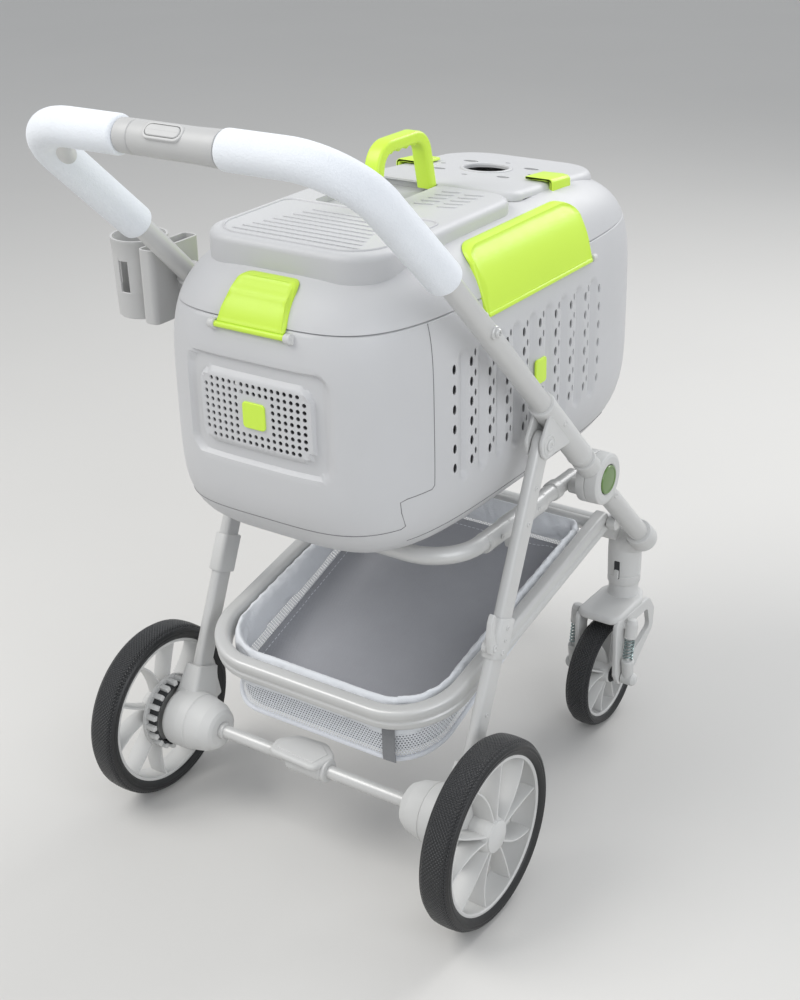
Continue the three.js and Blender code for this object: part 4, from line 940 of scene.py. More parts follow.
parts.add(turned(soft_profile([(-20, 13.2), (-20, 17), (20, 17), (20, 13.2)], 1.4), clamp_at, UP_TUBE, 40))
parts.add(slab(rectangle(clamp_at[1] - 13, clamp_at[1] + 13, clamp_z - 14, clamp_z + 14, 5), 222, 233.5,
               side_space(-1), 2))
parts.add(slab(rectangle(clamp_at[1] - 9, clamp_at[1] + 21, clamp_z - 6, clamp_z + 6, 3), 213, 221,
               side_space(-1), 1.5))
parts.make("cup_and_pocket", "cover_plastic", "upper_frame", ("cup_holder",))


# ---- front frame ----
for name, side in SIDES:
    x = side * FRONT_LEG_X
    disc = soft_profile([(HUB_INNER, 16), (HUB_INNER, 30), (HUB_INNER + 2.5, HUB_RADIUS),
                         (HUB_SPLIT - 0.5, HUB_RADIUS),
                         (HUB_SPLIT - 0.5, 16)], 1)
    parts = Parts().add(turned([(a * side, r) for a, r in disc], HUB * [0, 1, 1], (1, 0, 0), 72))
    parts.add(turned(soft_profile([(14, 12), (14, 15.6), (40, 16.5), (45.4, 16.5), (46, 14)], 1),
                     HUB + vec(x, 0, 0),
                     DOWN_LEG, 40))
    parts.add(tube([along_leg(x, 43), along_leg(x, FRONT_LEG_LENGTH - 0.4)], FRONT_LEG_RADIUS, 40))
    boss = soft_profile([(174.6, 8), (174.6, 10), (198, 10.5), (198, 8)], 0.8)
    parts.add(turned([(a * side, r) for a, r in boss], (0, HUB[1], SEAT_Z), (1, 0, 0), 32))
    lug = soft_profile([(188.6, 7), (188.6, 9), (202, 9.6), (202, 6)], 0.8)
    parts.add(turned([(a * side, r) for a, r in lug], (0, *RAIL_PIVOT[1:]), (1, 0, 0), 32))
    screw(parts, along_leg(x, 60) + vec(side * 13.4, 0, 0), (side, 0, 0), 4.2, 1.4)
    parts.make(f"front_tube_{name}", "painted_tube", "front_frame", (f"front_leg_{name}",))

    x = side * FRONT_TRACK
    lx = side * FRONT_LEG_X
    parts = Parts()
    collar = soft_profile([(FRONT_LEG_LENGTH - 30, 14.3), (FRONT_LEG_LENGTH - 30, 18.6),
                           (FRONT_LEG_LENGTH - 24, 19.4),
                           (FRONT_LEG_LENGTH - 2, 20), (FRONT_LEG_LENGTH + 6, 16)], 1)
    parts.add(turned(collar, HUB + vec(lx, 0, 0), DOWN_LEG, 44))
    bend = bent([along_leg(lx, FRONT_LEG_LENGTH - 18),
                 along_leg(lx, FRONT_LEG_LENGTH + 1) + vec(-side * 6, 0, 2),
                 vec(x, CASTER_Y - 2, 263), vec(x, CASTER_Y, 232)], 22, 8)
    parts.add(tube(bend, 21, 40, scale=np.interp(np.linspace(0, 1, len(bend)), [0, 0.5, 1],
                                                 [0.86, 0.98, 1.1])))
    barrel = [(200, 18), (200, 22.4), (202, 23.5), (215, 23.5), (215.6, 22.9), (216.4, 22.9), (217, 23.6),
              (250, 24.2), (264, 23.6), (274, 20), (280, 12)]
    parts.add(turned(barrel, (x, CASTER_Y, 0), (0, 0, 1), 56, (1, 0, 0)))
    socket = soft_profile([(FRONT_TRACK - 4, 12), (FRONT_TRACK - 4, 17.4), (FRONT_TRACK - 40, 16.6),
                           (FRONT_TRACK - 43.6, 16.2), (FRONT_TRACK - 43.6, 13.1)], 0.9)
    parts.add(turned([(a * side, r) for a, r in socket], (0, BEAM_Y, BEAM_Z), (1, 0, 0), 44))
    screw(parts, vec(side * 146, BEAM_Y, BEAM_Z + 16), (0, 0, 1), 3.6, 1.2)
    parts.make(f"caster_mount_{name}", "grey_plastic", "front_frame", (f"caster_housing_{name}",))
    face = CASTER_Y - 23.6
    # painted shade: a near-black strip standing for the shade in the slot behind the swivel slider
    slot = Parts().add(slab(rectangle(x - 4.2, x + 4.2, 212, 240, 1.5), 0, 1.2,
                            lambda a, b, d: vec(a, face + 0.3 - d, b), 0.4, 2))
    slot.make(f"slider_slot_{name}", "hollow_dark", "front_frame")
    Parts().add(slab(rectangle(x - 3.5, x + 3.5, 213.3, 226.5, 1.2), -1, 3.4, lambda a, b,
                     d: vec(a, face - d, b), 0.8,
                     2)).make(f"swivel_slider_{name}", "grey_plastic", f"swivel_slider_{name}",
                              (f"swivel_lock_{name}",))

piece("cross_beam", *tube([(-155.5, BEAM_Y, BEAM_Z), (155.5, BEAM_Y, BEAM_Z)], BEAM_RADIUS, 40)[:2],
      "painted_tube",
      "front_frame", ("front_beam",))

seat_path = bent([(SEAT_X, 377, SEAT_Z), (SEAT_X, SEAT_REAR, SEAT_Z), (-SEAT_X, SEAT_REAR, SEAT_Z),
                  (-SEAT_X, 377, SEAT_Z)], 62, 14)
parts = Parts().add(tube(seat_path, SEAT_RADIUS, 36))
for name, side in SIDES:
    x = side * SEAT_X
    sleeve = soft_profile([(150, 11.2), (150, 12.9), (156, 13.2), (158, 12.6), (200, 12.8), (204, 13.6),
                           (284, 13.6),
                           (290, 13.2), (290, 11.2)], 0.8)
    parts.add(turned(sleeve, (x, 0, SEAT_Z - 2.2), (0, 1, 0), 40))
    dock = outline([(206, SEAT_Z - 8), (236, SEAT_Z - 8), (236, SEAT_Z - 20), (226, SEAT_Z - 36),
                    (214, SEAT_Z - 36)], 4)
    parts.add(slab(dock, SEAT_X - 7, SEAT_X + 7, side_space(side), 2))
    parts.add(turned(soft_profile([(318, 11.2), (318, 13), (332, 13), (332, 11.2)], 0.8), (x, 0, SEAT_Z),
                     (0, 1, 0), 36))
    screw(parts, vec(side * (SEAT_X + 13), 176, SEAT_Z), (side, 0, 0), 3.4, 1.2)
    screw(parts, vec(side * (SEAT_X + 13), 266, SEAT_Z), (side, 0, 0), 3.4, 1.2)
parts.make("seat_tube", "painted_tube", "front_frame", ("seat_frame",))


# ---- front forks ----
def on_shock(x, z):
    share = (z - 114) / 60
    return vec(x, FRONT_Y - 4 + 11 * share, z)


fork_shape = outline([(436, 176), (540, 172), (557, 148), (554, 116), (488, 68), (450, 68), (438, 90)],
                     [10, 16, 12, 14, 16, 16, 12])
fork_window = outline([(462, 156), (534, 156), (542, 124), (476, 98), (462, 102)], [6, 8, 8, 8, 6], 5)
SHOCK_OFFSET = 43
for name, side in SIDES:
    x = side * FRONT_TRACK
    body = f"caster_{name}"
    parts = Parts()
    crown = outline([(x - 33, 436), (x + 33, 436), (x + 33, 516), (x + 20, 545), (x - 20, 545),
                     (x - 33, 516)],
                    [15, 15, 10, 16, 16, 10])
    parts.add(slab(crown, 170, 182, level_space(), 4.5, 5))
    stem = [(176, 18), (181, 24), (184, 22), (188, 21.4), (199.2, 21.4), (199.6, 20), (199.6, 10)]
    parts.add(turned(stem, (x, CASTER_Y, 0), (0, 0, 1), 56, (1, 0, 0)))
    for way in (-1, 1):
        middle = x + way * 30
        space = (lambda a, b, d, middle=middle: vec(middle + d, a, b))
        parts.add(curved_slab(fork_shape, -3.4, 3.4, space, 1.6, 14, [fork_window]))
        head = soft_profile([(0, 7), (0, 8.6), (22, 9), (28, 7), (30, 2)], 1.5)
        shock_x = x + way * SHOCK_OFFSET
        axis = on_shock(0, 174) - on_shock(0, 145)
        parts.add(turned(head, on_shock(shock_x, 145.5), axis, 36))
        parts.add(turned([(0, 6), (14, 6)], on_shock(middle, 162), (way, 0, 0), 24))
    parts.make(f"fork_{name}", "grey_plastic", body, (f"caster_fork_{name}",))
    parts = Parts()
    parts.add(turned([(-56, 4), (-55, 5), (55, 5), (56, 4)], (x, FRONT_Y, FRONT_RADIUS), (1, 0, 0), 24))
    for way in (-1, 1):
        shock_x = x + way * SHOCK_OFFSET
        cup = soft_profile([(0, 7), (0, 8), (30, 9), (33, 8.4), (33, 5)], 1.2)
        axis = on_shock(0, 114) - vec(0, FRONT_Y, FRONT_RADIUS)
        parts.add(turned(cup, (shock_x, FRONT_Y, FRONT_RADIUS), axis, 32))
        parts.add(turned([(0, 3.2), (40, 3.2)], on_shock(shock_x, 112), on_shock(0, 174) - on_shock(0, 145),
                         20))
        nut = soft_profile([(-8.5, 6), (-8.5, 9.4), (8, 9.6), (10.5, 8), (12.5, 5.5)], 1)
        parts.add(turned([(way * a, r) for a, r in nut], (shock_x, FRONT_Y, FRONT_RADIUS), (1, 0, 0), 36))
    parts.make(f"axle_front_{name}", "grey_plastic", f"suspension_{name}", (f"front_axle_{name}",))
    for place_name, way in (("outer", side), ("inner", -side)):
        turns = np.linspace(0, 6 * 2 * math.pi, 6 * 20 + 1)
        coil = [on_shock(x + way * SHOCK_OFFSET, 115.4 + 28.6 * t / turns[-1])
                + vec(6.4 * math.cos(t), 6.4 * math.sin(t), 0) for t in turns]
        spring = piece(f"coil_{name}_{place_name}", *tube(coil, 1.15, 10, side=(0, 0, 1))[:2],
                       "spring_steel", body,
                       (f"shock_spring_{name}_{place_name}",))
        top = place(on_shock(x + way * SHOCK_OFFSET, 145))
        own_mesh(spring)


# ---- rear frame ----
def leg_shape(wide, thin, radius):
    return rectangle(-thin / 2, thin / 2, -wide / 2, wide / 2, radius, 5)


for name, side in SIDES:
    x = side * LEG_X
    body = "rear_frame"
    parts = Parts()
    end = LEG_PIVOT + vec(x, 0, 0)
    start = on_leg(x, 152.4)
    length = np.linalg.norm(end - start)
    stations = list(np.linspace(0, length, 8)) + [length + 15 * math.sin(a) for a in np.linspace(0.2, 1.5, 7)]
    flat = leg_shape(LEG_WIDTH, LEG_THICKNESS, 6.6)
    rows = []
    for s in stations:
        width = 1.0 if s <= length else max(0.06, math.sqrt(max(0.0, 1 - ((s - length) / 15.2) ** 2)))
        rows.append([start + LEG_UP * s + vec(a, 0, 0) - LEG_ACROSS * b * width for a, b in flat])
    verts, faces, uv = grid(rows, False, True)
    m = len(flat)
    faces += [list(range(m)), list(range((len(rows) - 1) * m, len(rows) * m))]
    parts.add((verts, faces, uv + [(0.0, 0.0)] * (2 * m)))
    for z, radius in ((200, 3.4), (236, 3.0), (452, 3.2), (492, 3.4)):
        screw(parts, on_leg(x + side * 7.2, z), (side, 0, 0), radius, 1.3)
    parts.make(f"leg_{name}", "painted_tube", body, (f"rear_leg_{name}",))
    low, high = on_leg(x, 300), on_leg(x, 346)
    parts = Parts().add(sweep([low, low + LEG_UP * 2, high - LEG_UP * 2, high], leg_shape(36, 20.5, 6),
                              scale=[0.94, 1, 1, 0.94]))
    for z, radius in ((308, 4), (322, 2.6), (336, 3.4)):
        screw(parts, on_leg(x + side * 9.8, z), (side, 0, 0), radius, 1.6)
    if side < 0:
        parts.make(f"lock_bracket_{name}", "grey_plastic", body)
    else:
        lug = on_leg(0, 314) + LEG_ACROSS * 24
        hook_y, hook_z = lug[1:]
        parts.add(turned([(-3.4, 7), (-3, 8), (3, 8), (3.4, 7)], (x, hook_y, hook_z), (1, 0, 0), 28))
        arm = on_leg(0, 314) + LEG_ACROSS * 12
        parts.add(slab(outline([(arm[1] + 6, arm[2] - 7), (arm[1] + 6, arm[2] + 12), (hook_y, hook_z + 7),
                                (hook_y, hook_z - 7)], 2), LEG_X - 3, LEG_X + 3, side_space(side), 1))
        parts.make(f"lock_bracket_{name}", "grey_plastic", body)
        hook = outline([(hook_y - 8, hook_z - 7), (hook_y + 1, hook_z - 6), (hook_y + 3, hook_z + 6),
                        (hook_y, hook_z + 22),
                        (hook_y + 4, hook_z + 42), (hook_y - 1, hook_z + 47), (hook_y - 7, hook_z + 36),
                        (hook_y - 10, hook_z + 18)], 4)
        parts = Parts().add(slab(hook, LEG_X + 3.6, LEG_X + 11.2, side_space(side), 1.6))
        screw(parts, vec(side * (LEG_X + 11), hook_y, hook_z), (side, 0, 0), 4.5, 1.8)
        parts.make("lock_hook_right", "grey_plastic", "lock_hook", ("fold_lock_hook",))

    parts = Parts()
    shell = soft_profile([(HOUSING_INNER, 10), (HOUSING_INNER, 22), (HOUSING_INNER + 3, 27),
                          (HOUSING_INNER + 14, 33.5),
                          (HOUSING_INNER + 36, 38), (184.5, 38.4), (185, 37.6), (186, 37.6), (186.5, 38.6),
                          (200, 40), (218, 40), (222, 38), (225, 34), (225, 10)], 1.2)
    parts.add(turned([(a * side, r) for a, r in shell], (0, 0, REAR_RADIUS), (1, 0, 0), 72))
    foot = on_leg(x, 132)
    box_path = [foot, foot + LEG_UP * 20, foot + LEG_UP * 48, foot + LEG_UP * 53]
    parts.add(sweep(box_path, leg_shape(42, 27, 6), scale=[1.5, 1.22, 1.0, 0.96]))
    wedge = outline([(44, 124), (62, 128), (54, 168), (40, 176), (30, 150)], 4)
    parts.add(slab(wedge, LEG_X - 12, LEG_X + 6, side_space(side), 2))
    for z in (140, 156):
        screw(parts, vec(side * (LEG_X - 3), 60 - (z - 128) * 0.2, z), (0, 1, 0.2), 3.6, 1.4)
        screw(parts, vec(side * (LEG_X - 12), 48 - (z - 140) * 0.3, z), (-side, 0, 0), 3.4, 1.2)
    screw(parts, vec(side * 158, -24, 132), (-side * 0.35, -1, 0.25), 4.4, 1.6)
    screw(parts, vec(side * 158, 24, 110), (-side * 0.35, 1, 0), 4.4, 1.6)
    parts.add(turned(soft_profile([(0, 5), (0, 7), (12, 6), (14, 3)], 1), (side * 200, 4, 88),
                     (0, -0.2, -1), 24))
    parts.add(turned([(225, 8), (241, 8)] if side > 0 else [(-225, 8), (-241, 8)], (0, 0, REAR_RADIUS),
                     (1, 0, 0), 24))
    parts.make(f"hub_housing_{name}", "grey_plastic", body, (f"rear_hub_housing_{name}",))

parts = Parts().add(tube([(-188.6, 0, REAR_RADIUS), (188.6, 0, REAR_RADIUS)], AXLE_RADIUS, 36))
for side in (1, -1):
    ring_end = soft_profile([(side * 149, 8), (side * 149, 11.5), (side * 143, 11), (side * 142, 8)], 0.8)
    parts.add(turned(ring_end, (0, 0, REAR_RADIUS), (1, 0, 0), 36))
parts.make("axle_rear", "painted_tube", "rear_frame", ("rear_axle",))

sleeve = soft_profile([(-34, 9), (-34, 14.6), (-28, 15.2), (20, 15.2), (20.6, 14.2), (22, 14.2), (22.6, 15.2),
                       (27, 15), (27, 9)], 1)
parts = Parts().add(turned(sleeve, (0, 0, REAR_RADIUS), (1, 0, 0), 44))
tread = outline([(-56, -20), (20, -24), (28, 12), (4, 30), (-40, 27), (-60, 6)], [12, 10, 10, 14, 14, 12])
parts.add(slab(tread, REAR_RADIUS + 9, REAR_RADIUS + 17, level_space(), 3, 4))
parts.add(slab(inset(tread, 8), REAR_RADIUS + 14, REAR_RADIUS + 18.2, level_space(), 0.8, 2))
parts.make("pedal_shell", "grey_plastic", "pedal", ("brake_pedal",))


# ---- carrier: base ----
def spread_at(z, offset=0.0):
    half_rise = (CARRIER_RISE if z > CARRIER_Z else CARRIER_DROP) + offset
    upright = TOP_POWER if z > CARRIER_Z else BOTTOM_POWER
    return max(1e-6, 1 - min(1.0, abs(z - CARRIER_Z) / half_rise) ** upright) ** (1 / upright)


def on_form(cx, cy, z, offset=0.0):
    """A point of the carrier's form: cx and cy lie on the unit plan outline."""
    spread = spread_at(z, offset)
    return vec((CARRIER_WIDTH + offset) * spread * cx, CARRIER_Y + (CARRIER_LENGTH + offset) * spread * cy, z)


def plan_partner(value):
    return max(0.0, 1 - abs(value) ** PLAN_POWER) ** (1 / PLAN_POWER)


def stretch(a, b, count):
    return list(np.linspace(a, b, count + 1)[:-1])


SIDE_SHARE, REAR_SHARE = 0.585, 0.66
side_steps, end_steps, corner_steps = 48, 26, 9
plan = [(plan_partner(v), v) for v in stretch(-SIDE_SHARE, SIDE_SHARE, side_steps)]
corner = []
for t in np.linspace(0, 1, 4 * corner_steps + 1):
    angle = math.atan2(SIDE_SHARE, plan_partner(SIDE_SHARE)) * (1 - t) \
        + math.atan2(plan_partner(REAR_SHARE), REAR_SHARE) * t
    c, s = math.cos(angle), math.sin(angle)
    size = (abs(c) ** PLAN_POWER + abs(s) ** PLAN_POWER) ** (-1 / PLAN_POWER)
    corner.append((c * size, s * size))
corner = corner[:-1]
plan += corner
plan += [(v, plan_partner(v)) for v in stretch(REAR_SHARE, -REAR_SHARE, end_steps)]
plan += [(-a, b) for a, b in [(REAR_SHARE, plan_partner(REAR_SHARE))] + corner[:0:-1]]
plan += [(-plan_partner(v), v) for v in stretch(SIDE_SHARE, -SIDE_SHARE, side_steps)]
plan += [(-a, -b) for a, b in corner]
plan += [(v, -plan_partner(v)) for v in stretch(-REAR_SHARE, REAR_SHARE, end_steps)]
plan += [(a, -b) for a, b in [(REAR_SHARE, plan_partner(REAR_SHARE))] + corner[:0:-1]]
right_start = 0
rear_start = 2 * side_steps + end_steps + 3 * len(corner)
left_start = side_steps + end_steps + 2 * len(corner)

CHANNELS = [66 + 24 + 38.2 * k for k in range(9)]
CHANNEL_LOW, CHANNEL_HIGH = 536, 676


def channel_depth(y, z):
    """Upright channels with round ends in the carrier's sides."""
    deepest = 0.0
    for middle in CHANNELS:
        away = math.hypot(y - middle, max(0.0, CHANNEL_LOW - z, z - CHANNEL_HIGH))
        if away < 11.5:
            deepest = max(deepest, 6.2 * (0.5 + 0.5 * math.cos(math.pi * away / 11.5)))
    return deepest


def rounded_distance(a, b, half_a, half_b, radius):
    """How far a point lies outside (over 0) or inside (under 0) a rounded rectangle."""
    da, db = abs(a) - half_a + radius, abs(b) - half_b + radius
    return math.hypot(max(da, 0.0), max(db, 0.0)) + min(max(da, db), 0.0) - radius


def ease(value):
    value = max(0.0, min(1.0, value))
    return value * value * (3 - 2 * value)


GRILLE_Z = 628


def grille_depth(x, z):
    """A sunk frame on the rear face with a raised grille plate and its lip."""
    frame = rounded_distance(x - 4, z - GRILLE_Z, 99, 63, 20)
    plate = rounded_distance(x - 4, z - GRILLE_Z, 79, 43.5, 16)
    sunk = 5.5 * ease(-frame / 4.5)
    raised = 5.7 * ease(-plate / 2.5)
    lip = 1.5 * max(0.0, 1 - abs(plate + 3.5) / 2.6)
    return sunk - raised - lip


side_levels = list(np.linspace(512, 704, 41))
low_levels = [431.2, 432.5, 435, 439, 444, 450, 457, 465, 474, 484, 495, 504]
high_levels = [710, 716, 722, 727, 730.6, PARTING - 0.5]
levels = low_levels + side_levels + high_levels
window_low, window_high = len(low_levels), len(low_levels) + len(side_levels) - 1
window_z = (side_levels[0], side_levels[-1])


def oval(a, b, half_a, half_b, sides=8):
    angles = np.linspace(0, 2 * math.pi, sides, endpoint=False) + math.pi / sides
    return np.stack([a + half_a * np.cos(angles), b + half_b * np.sin(angles)], 1)


def side_holes():
    holes = []
    for k in range(10):
        y = CHANNELS[0] - 19 + 38.2 * k
        for row in range(6):
            z = 548 + 24 * row
            if abs(y - CARRIER_Y) < 30 and abs(z - 607) < 26:
                continue
            holes.append(oval(y - (3.4 if 0 < k else -2), z, 3.3, 6.0, 12))
            if 0 < k < 9:
                holes.append(oval(y + 4.4, z + 8.5, 2.0, 4.4, 10))
    return holes


def grille_holes():
    holes = []
    for i in range(17):
        for j in range(9):
            a, b = 4 + 8.6 * (i - 8), GRILLE_Z + 8.5 * (j - 4)
            corner_gap = abs(i - 8) == 8 and j in (0, 8)
            if corner_gap or (abs(a - 4) < 24 and abs(b - GRILLE_Z) < 24):
                continue
            holes.append(oval(a, b, 2.7, 2.7, 10))
    return holes


def window(count, share, holes, z_low, z_high, flat_scale):
    """A stretch of the shell with holes, whose border repeats the shell's own points."""
    numbers = [share * (-1 + 2 * i / count) for i in range(count + 1)]
    used = [z for z in side_levels if z_low <= z <= z_high]
    ring = [(v * flat_scale, used[0]) for v in numbers] + [(numbers[-1] * flat_scale, z) for z in used[1:]]
    ring += [(v * flat_scale, used[-1]) for v in numbers[-2::-1]]
    ring += [(numbers[0] * flat_scale, z) for z in used[-2:0:-1]]
    return fill(ring, holes, 4.0)


def inner_gain(share, z):
    """1 within a window and 0 on its border, where the wall is thinned round the holes."""
    return ease((1 - abs(share)) / 0.06) * ease(min(z - window_z[0], window_z[1] - z) / 10)


def shell_with_windows(parts, windows, depth_of):
    """The outer and inner walls of the base, joined round each hole and at the top."""
    n = len(plan)
    outer, inner = [], []
    skip = set()
    for first, count, *_ in windows:
        skip |= {(i, (first + k) % n) for i in range(window_low, window_high) for k in range(count)}
    for z in levels:
        outer.append([on_form(cx, cy, z, -1.0 if z > PARTING - 1 else 0.0) for cx, cy in plan])
        inner.append([on_form(cx, cy, max(z, 435.0), -3.5) for cx, cy in plan])
    for rows in (outer, inner):
        verts = np.array(rows).reshape(-1, 3)
        faces = [[i * n + j, i * n + (j + 1) % n, (i + 1) * n + (j + 1) % n, (i + 1) * n + j]
                 for i in range(len(levels) - 1) for j in range(n) if (i, j) not in skip]
        faces.append(list(range(n)))
        parts.add((verts, faces, None))
    top = [outer[-1], inner[-1]]
    parts.add(grid(top, False, True))
    for _, count, to_form, share, holes, scale in windows:
        flat, triangles, counts = window(count, share, holes, *window_z, scale)
        m = len(flat)
        verts = [to_form(a / scale, z, -depth_of(a, z, to_form)) for a, z in flat]
        verts += [to_form(a / scale, z, -3.5 + 1.7 * inner_gain(a / scale / share, z)
                          - 0.9 * depth_of(a, z, to_form)) for a, z in flat]
        faces = [list(f) for f in triangles] + [[m + i for i in f] for f in triangles]
        at = counts[0]
        for size in counts[1:]:
            faces += [[at + i, at + (i + 1) % size, m + at + (i + 1) % size, m + at + i] for i in range(size)]
            at += size
        parts.add((verts, faces, None))


def right_form(v, z, offset):
    return on_form(plan_partner(v), v, z, offset)


def left_form(v, z, offset):
    return on_form(-plan_partner(v), v, z, offset)


def rear_form(v, z, offset):
    return on_form(v, -plan_partner(v), z, offset)


def depth_of(a, z, form):
    if form is rear_form:
        return grille_depth(a, z)
    return channel_depth(CARRIER_Y + a, z)


at_side = [np.array([(y - CARRIER_Y, z) for y, z in hole]) for hole in side_holes()]
parts = Parts()
shell_with_windows(parts, [
    (right_start, side_steps, right_form, SIDE_SHARE, at_side, CARRIER_LENGTH),
    (left_start, side_steps, left_form, SIDE_SHARE, at_side, CARRIER_LENGTH),
    (rear_start, end_steps, rear_form, REAR_SHARE, grille_holes(), CARRIER_WIDTH)], depth_of)
piece("base_shell", parts.verts, parts.faces, "carrier_plastic", "carrier", ("carrier_base",), None, 40)


def seam(points, name, body, width=0.55):
    """The fine shadow line where two mouldings meet."""
    return piece(name, *sweep(points, circle(width, 6), side=(0.1, 0.2, 0.97))[:2], "seam_shadow", body)


rear_seam = [vec(x, carrier_y(x, 497, -1, 0.05), 497) for x in np.linspace(-166, 150, 60)]
jog = [vec(x, carrier_y(x, z, -1, 0.05), z) for x, z in ((153, 500), (154, 520), (154.5, 534), (158, 536))]
jog += [vec(carrier_x(y, 536, 1, 0.05), y, 536) for y in (10, 22, 34)]
corner_line = [vec(carrier_x(38, z, 1, 0.05), 38, z) for z in np.linspace(540, PARTING - 1.5, 26)]
seam(rear_seam + jog + corner_line, "base_seam_rear", "carrier")
seam([vec(carrier_x(y, 474, 1, 0.05), y, 474) for y in np.linspace(14, 470, 60)], "base_seam_right",
     "carrier")
seam([vec(carrier_x(y, 474, -1, 0.05), y, 474) for y in np.linspace(14, 470, 60)], "base_seam_left",
     "carrier")


def badge(name, half_a, half_b, to_space, body):
    Parts().add(curved_slab(rectangle(-half_a, half_a, -half_b, half_b, 4.5, 5), -1, 2.2, to_space, 0.9,
                            5)).make(
        name, "lime_plastic", body)


badge("badge_rear", 15.5, 15.5,
      lambda a, b, d: vec(a + 4, carrier_y(a + 4, GRILLE_Z + b, -1, d + 0.4), GRILLE_Z + b),
      "carrier")
for name, side in SIDES:
    badge(f"badge_{name}", 12.5, 16, lambda a, b, d, side=side: vec(
        carrier_x(CARRIER_Y + a, 607 + b, side, d), CARRIER_Y + a, 607 + b), "carrier")


# ---- carrier: lid ----
DOOR = rectangle(-94, 94, 318, 524, 30)
lid_levels = [PARTING + 0.5, 733, 735, 738, 742, 747, 752, 757, 762, 767, 771.5, 775.5, 779]
n = len(plan)
parts = Parts()
lid_rows = {}
for key, offset in (("outer", 0.0), ("inner", -3.5)):
    lid_rows[key] = []
    for z in lid_levels:
        step_in = 0.8 if z < PARTING + 0.8 and key == "outer" else 0
        lid_rows[key].append([on_form(cx, cy, z, offset - step_in) for cx, cy in plan])
    parts.add(grid(lid_rows[key], False, True))
    ring = [p[:2] for p in lid_rows[key][-1]]
    flat, triangles, counts = fill(ring, [DOOR], 9)
    heights = [lid_levels[-1]] * n + [carrier_top(a, b, offset) for a, b in flat[n:]]
    parts.add(([vec(a, b, z) for (a, b), z in zip(flat, heights)], triangles, None))
    lid_rows[key + "_door"] = [vec(a, b, z) for (a, b), z in zip(flat[n:n + len(DOOR)], heights[n:])]
parts.add(grid([lid_rows["outer"][0], lid_rows["inner"][0]], False, True))
parts.add(grid([lid_rows["outer_door"], lid_rows["inner_door"]], False, True))
platform = outline([(-124, -12), (124, -12), (124, 297), (-124, 297)], [52, 52, 34, 34], 12)
recess = rectangle(-78, 14, 157.5, 294.5, 8)
flat, triangles, counts = fill(inset(platform, 9), [recess], 8)
turns = np.linspace(0, math.pi / 2, 6)
rows = [[vec(a, b, min(carrier_top(a, b, -1.5), 797)) for a, b in platform]]
rows += [[vec(a, b, PLATFORM_TOP - 9 + 9 * math.sin(t)) for a, b in inset(platform, 9 * (1 - math.cos(t)))]
         for t in turns]
parts.add(grid(rows, False, True))
top = [vec(a, b, PLATFORM_TOP) for a, b in flat]
start = counts[0]
recess_ring = [vec(a, b, PLATFORM_TOP) for a, b in flat[start:start + counts[1]]]
recess_floor = [vec(a, b, PLATFORM_TOP - 8.8) for a, b in flat[start:start + counts[1]]]
parts.add((top, triangles, None))
parts.add(grid([recess_ring, recess_floor], False, True))
parts.add((recess_floor, [list(range(len(recess_floor)))], None))
piece("lid_shell", parts.verts, parts.faces, "carrier_plastic", "lid", ("carrier_lid",), None, 38)

parts = Parts()


def ridge(parts, a, b, width, height):
    """A low half-round rib on the lid's raised panel."""
    a, b = np.asarray(a, float), np.asarray(b, float)
    along = unit(b - a)
    half = width / 2
    path = [a, a + along * half * 0.5, a + along * half, b - along * half, b - along * half * 0.5, b]
    section = [(half * math.cos(t), height * math.sin(t) - 0.3) for t in np.linspace(0, math.pi, 9)]
    section += [(-half, -1.2), (half, -1.2)]
    parts.add(sweep(path, section, side=np.cross(along, (0, 0, 1)), scale=[0.3, 0.8, 1, 1, 0.8, 0.3]))


for k in range(9):
    y = 20 + 13 * k
    half = 88 - 4.4 * k
    ridge(parts, (-half, y, PLATFORM_TOP), (half, y, PLATFORM_TOP), 5.4, 1.5)
for k in range(5):
    for x in (34, 66):
        y = 206 + 15 * k
        ridge(parts, (x, y, PLATFORM_TOP), (x + 24, y + 7, PLATFORM_TOP), 6.5, 2.0)
panel = outline([(-110, 4), (110, 4), (110, 150), (-110, 150)], [42, 42, 16, 16], 10)
rim_path = [vec(a, b, PLATFORM_TOP) for a, b in panel]
section = [(1.9 * math.cos(t), 1.0 * math.sin(t)) for t in np.linspace(0, 2 * math.pi, 10)[:-1]]
parts.add(sweep(rim_path, section, True, side=(0, 1, 0)))
parts.make("lid_ribs", "carrier_plastic", "lid", (), 50)
# painted shade: a darker sheet of the carrier's plastic laid on the floor of the handle's recess
Parts().add(slab(inset(recess, 0.4), PLATFORM_TOP - 10, PLATFORM_TOP - 8.4, level_space(), 0.4, 2)).make(
    "handle_recess_shade", "painted_recess_shade", "lid")

HATCH_REAR, HATCH_FRONT, HATCH_HOLE_Y, HATCH_HOLE_RADIUS = 300, 548, 425, 29
LEAN = 20 / (HATCH_FRONT - HATCH_REAR)


def hatch_top(b, below=0.0):
    """Height of the hatch's top, which leans down towards the front."""
    return PLATFORM_TOP - LEAN * (b - HATCH_REAR) - below


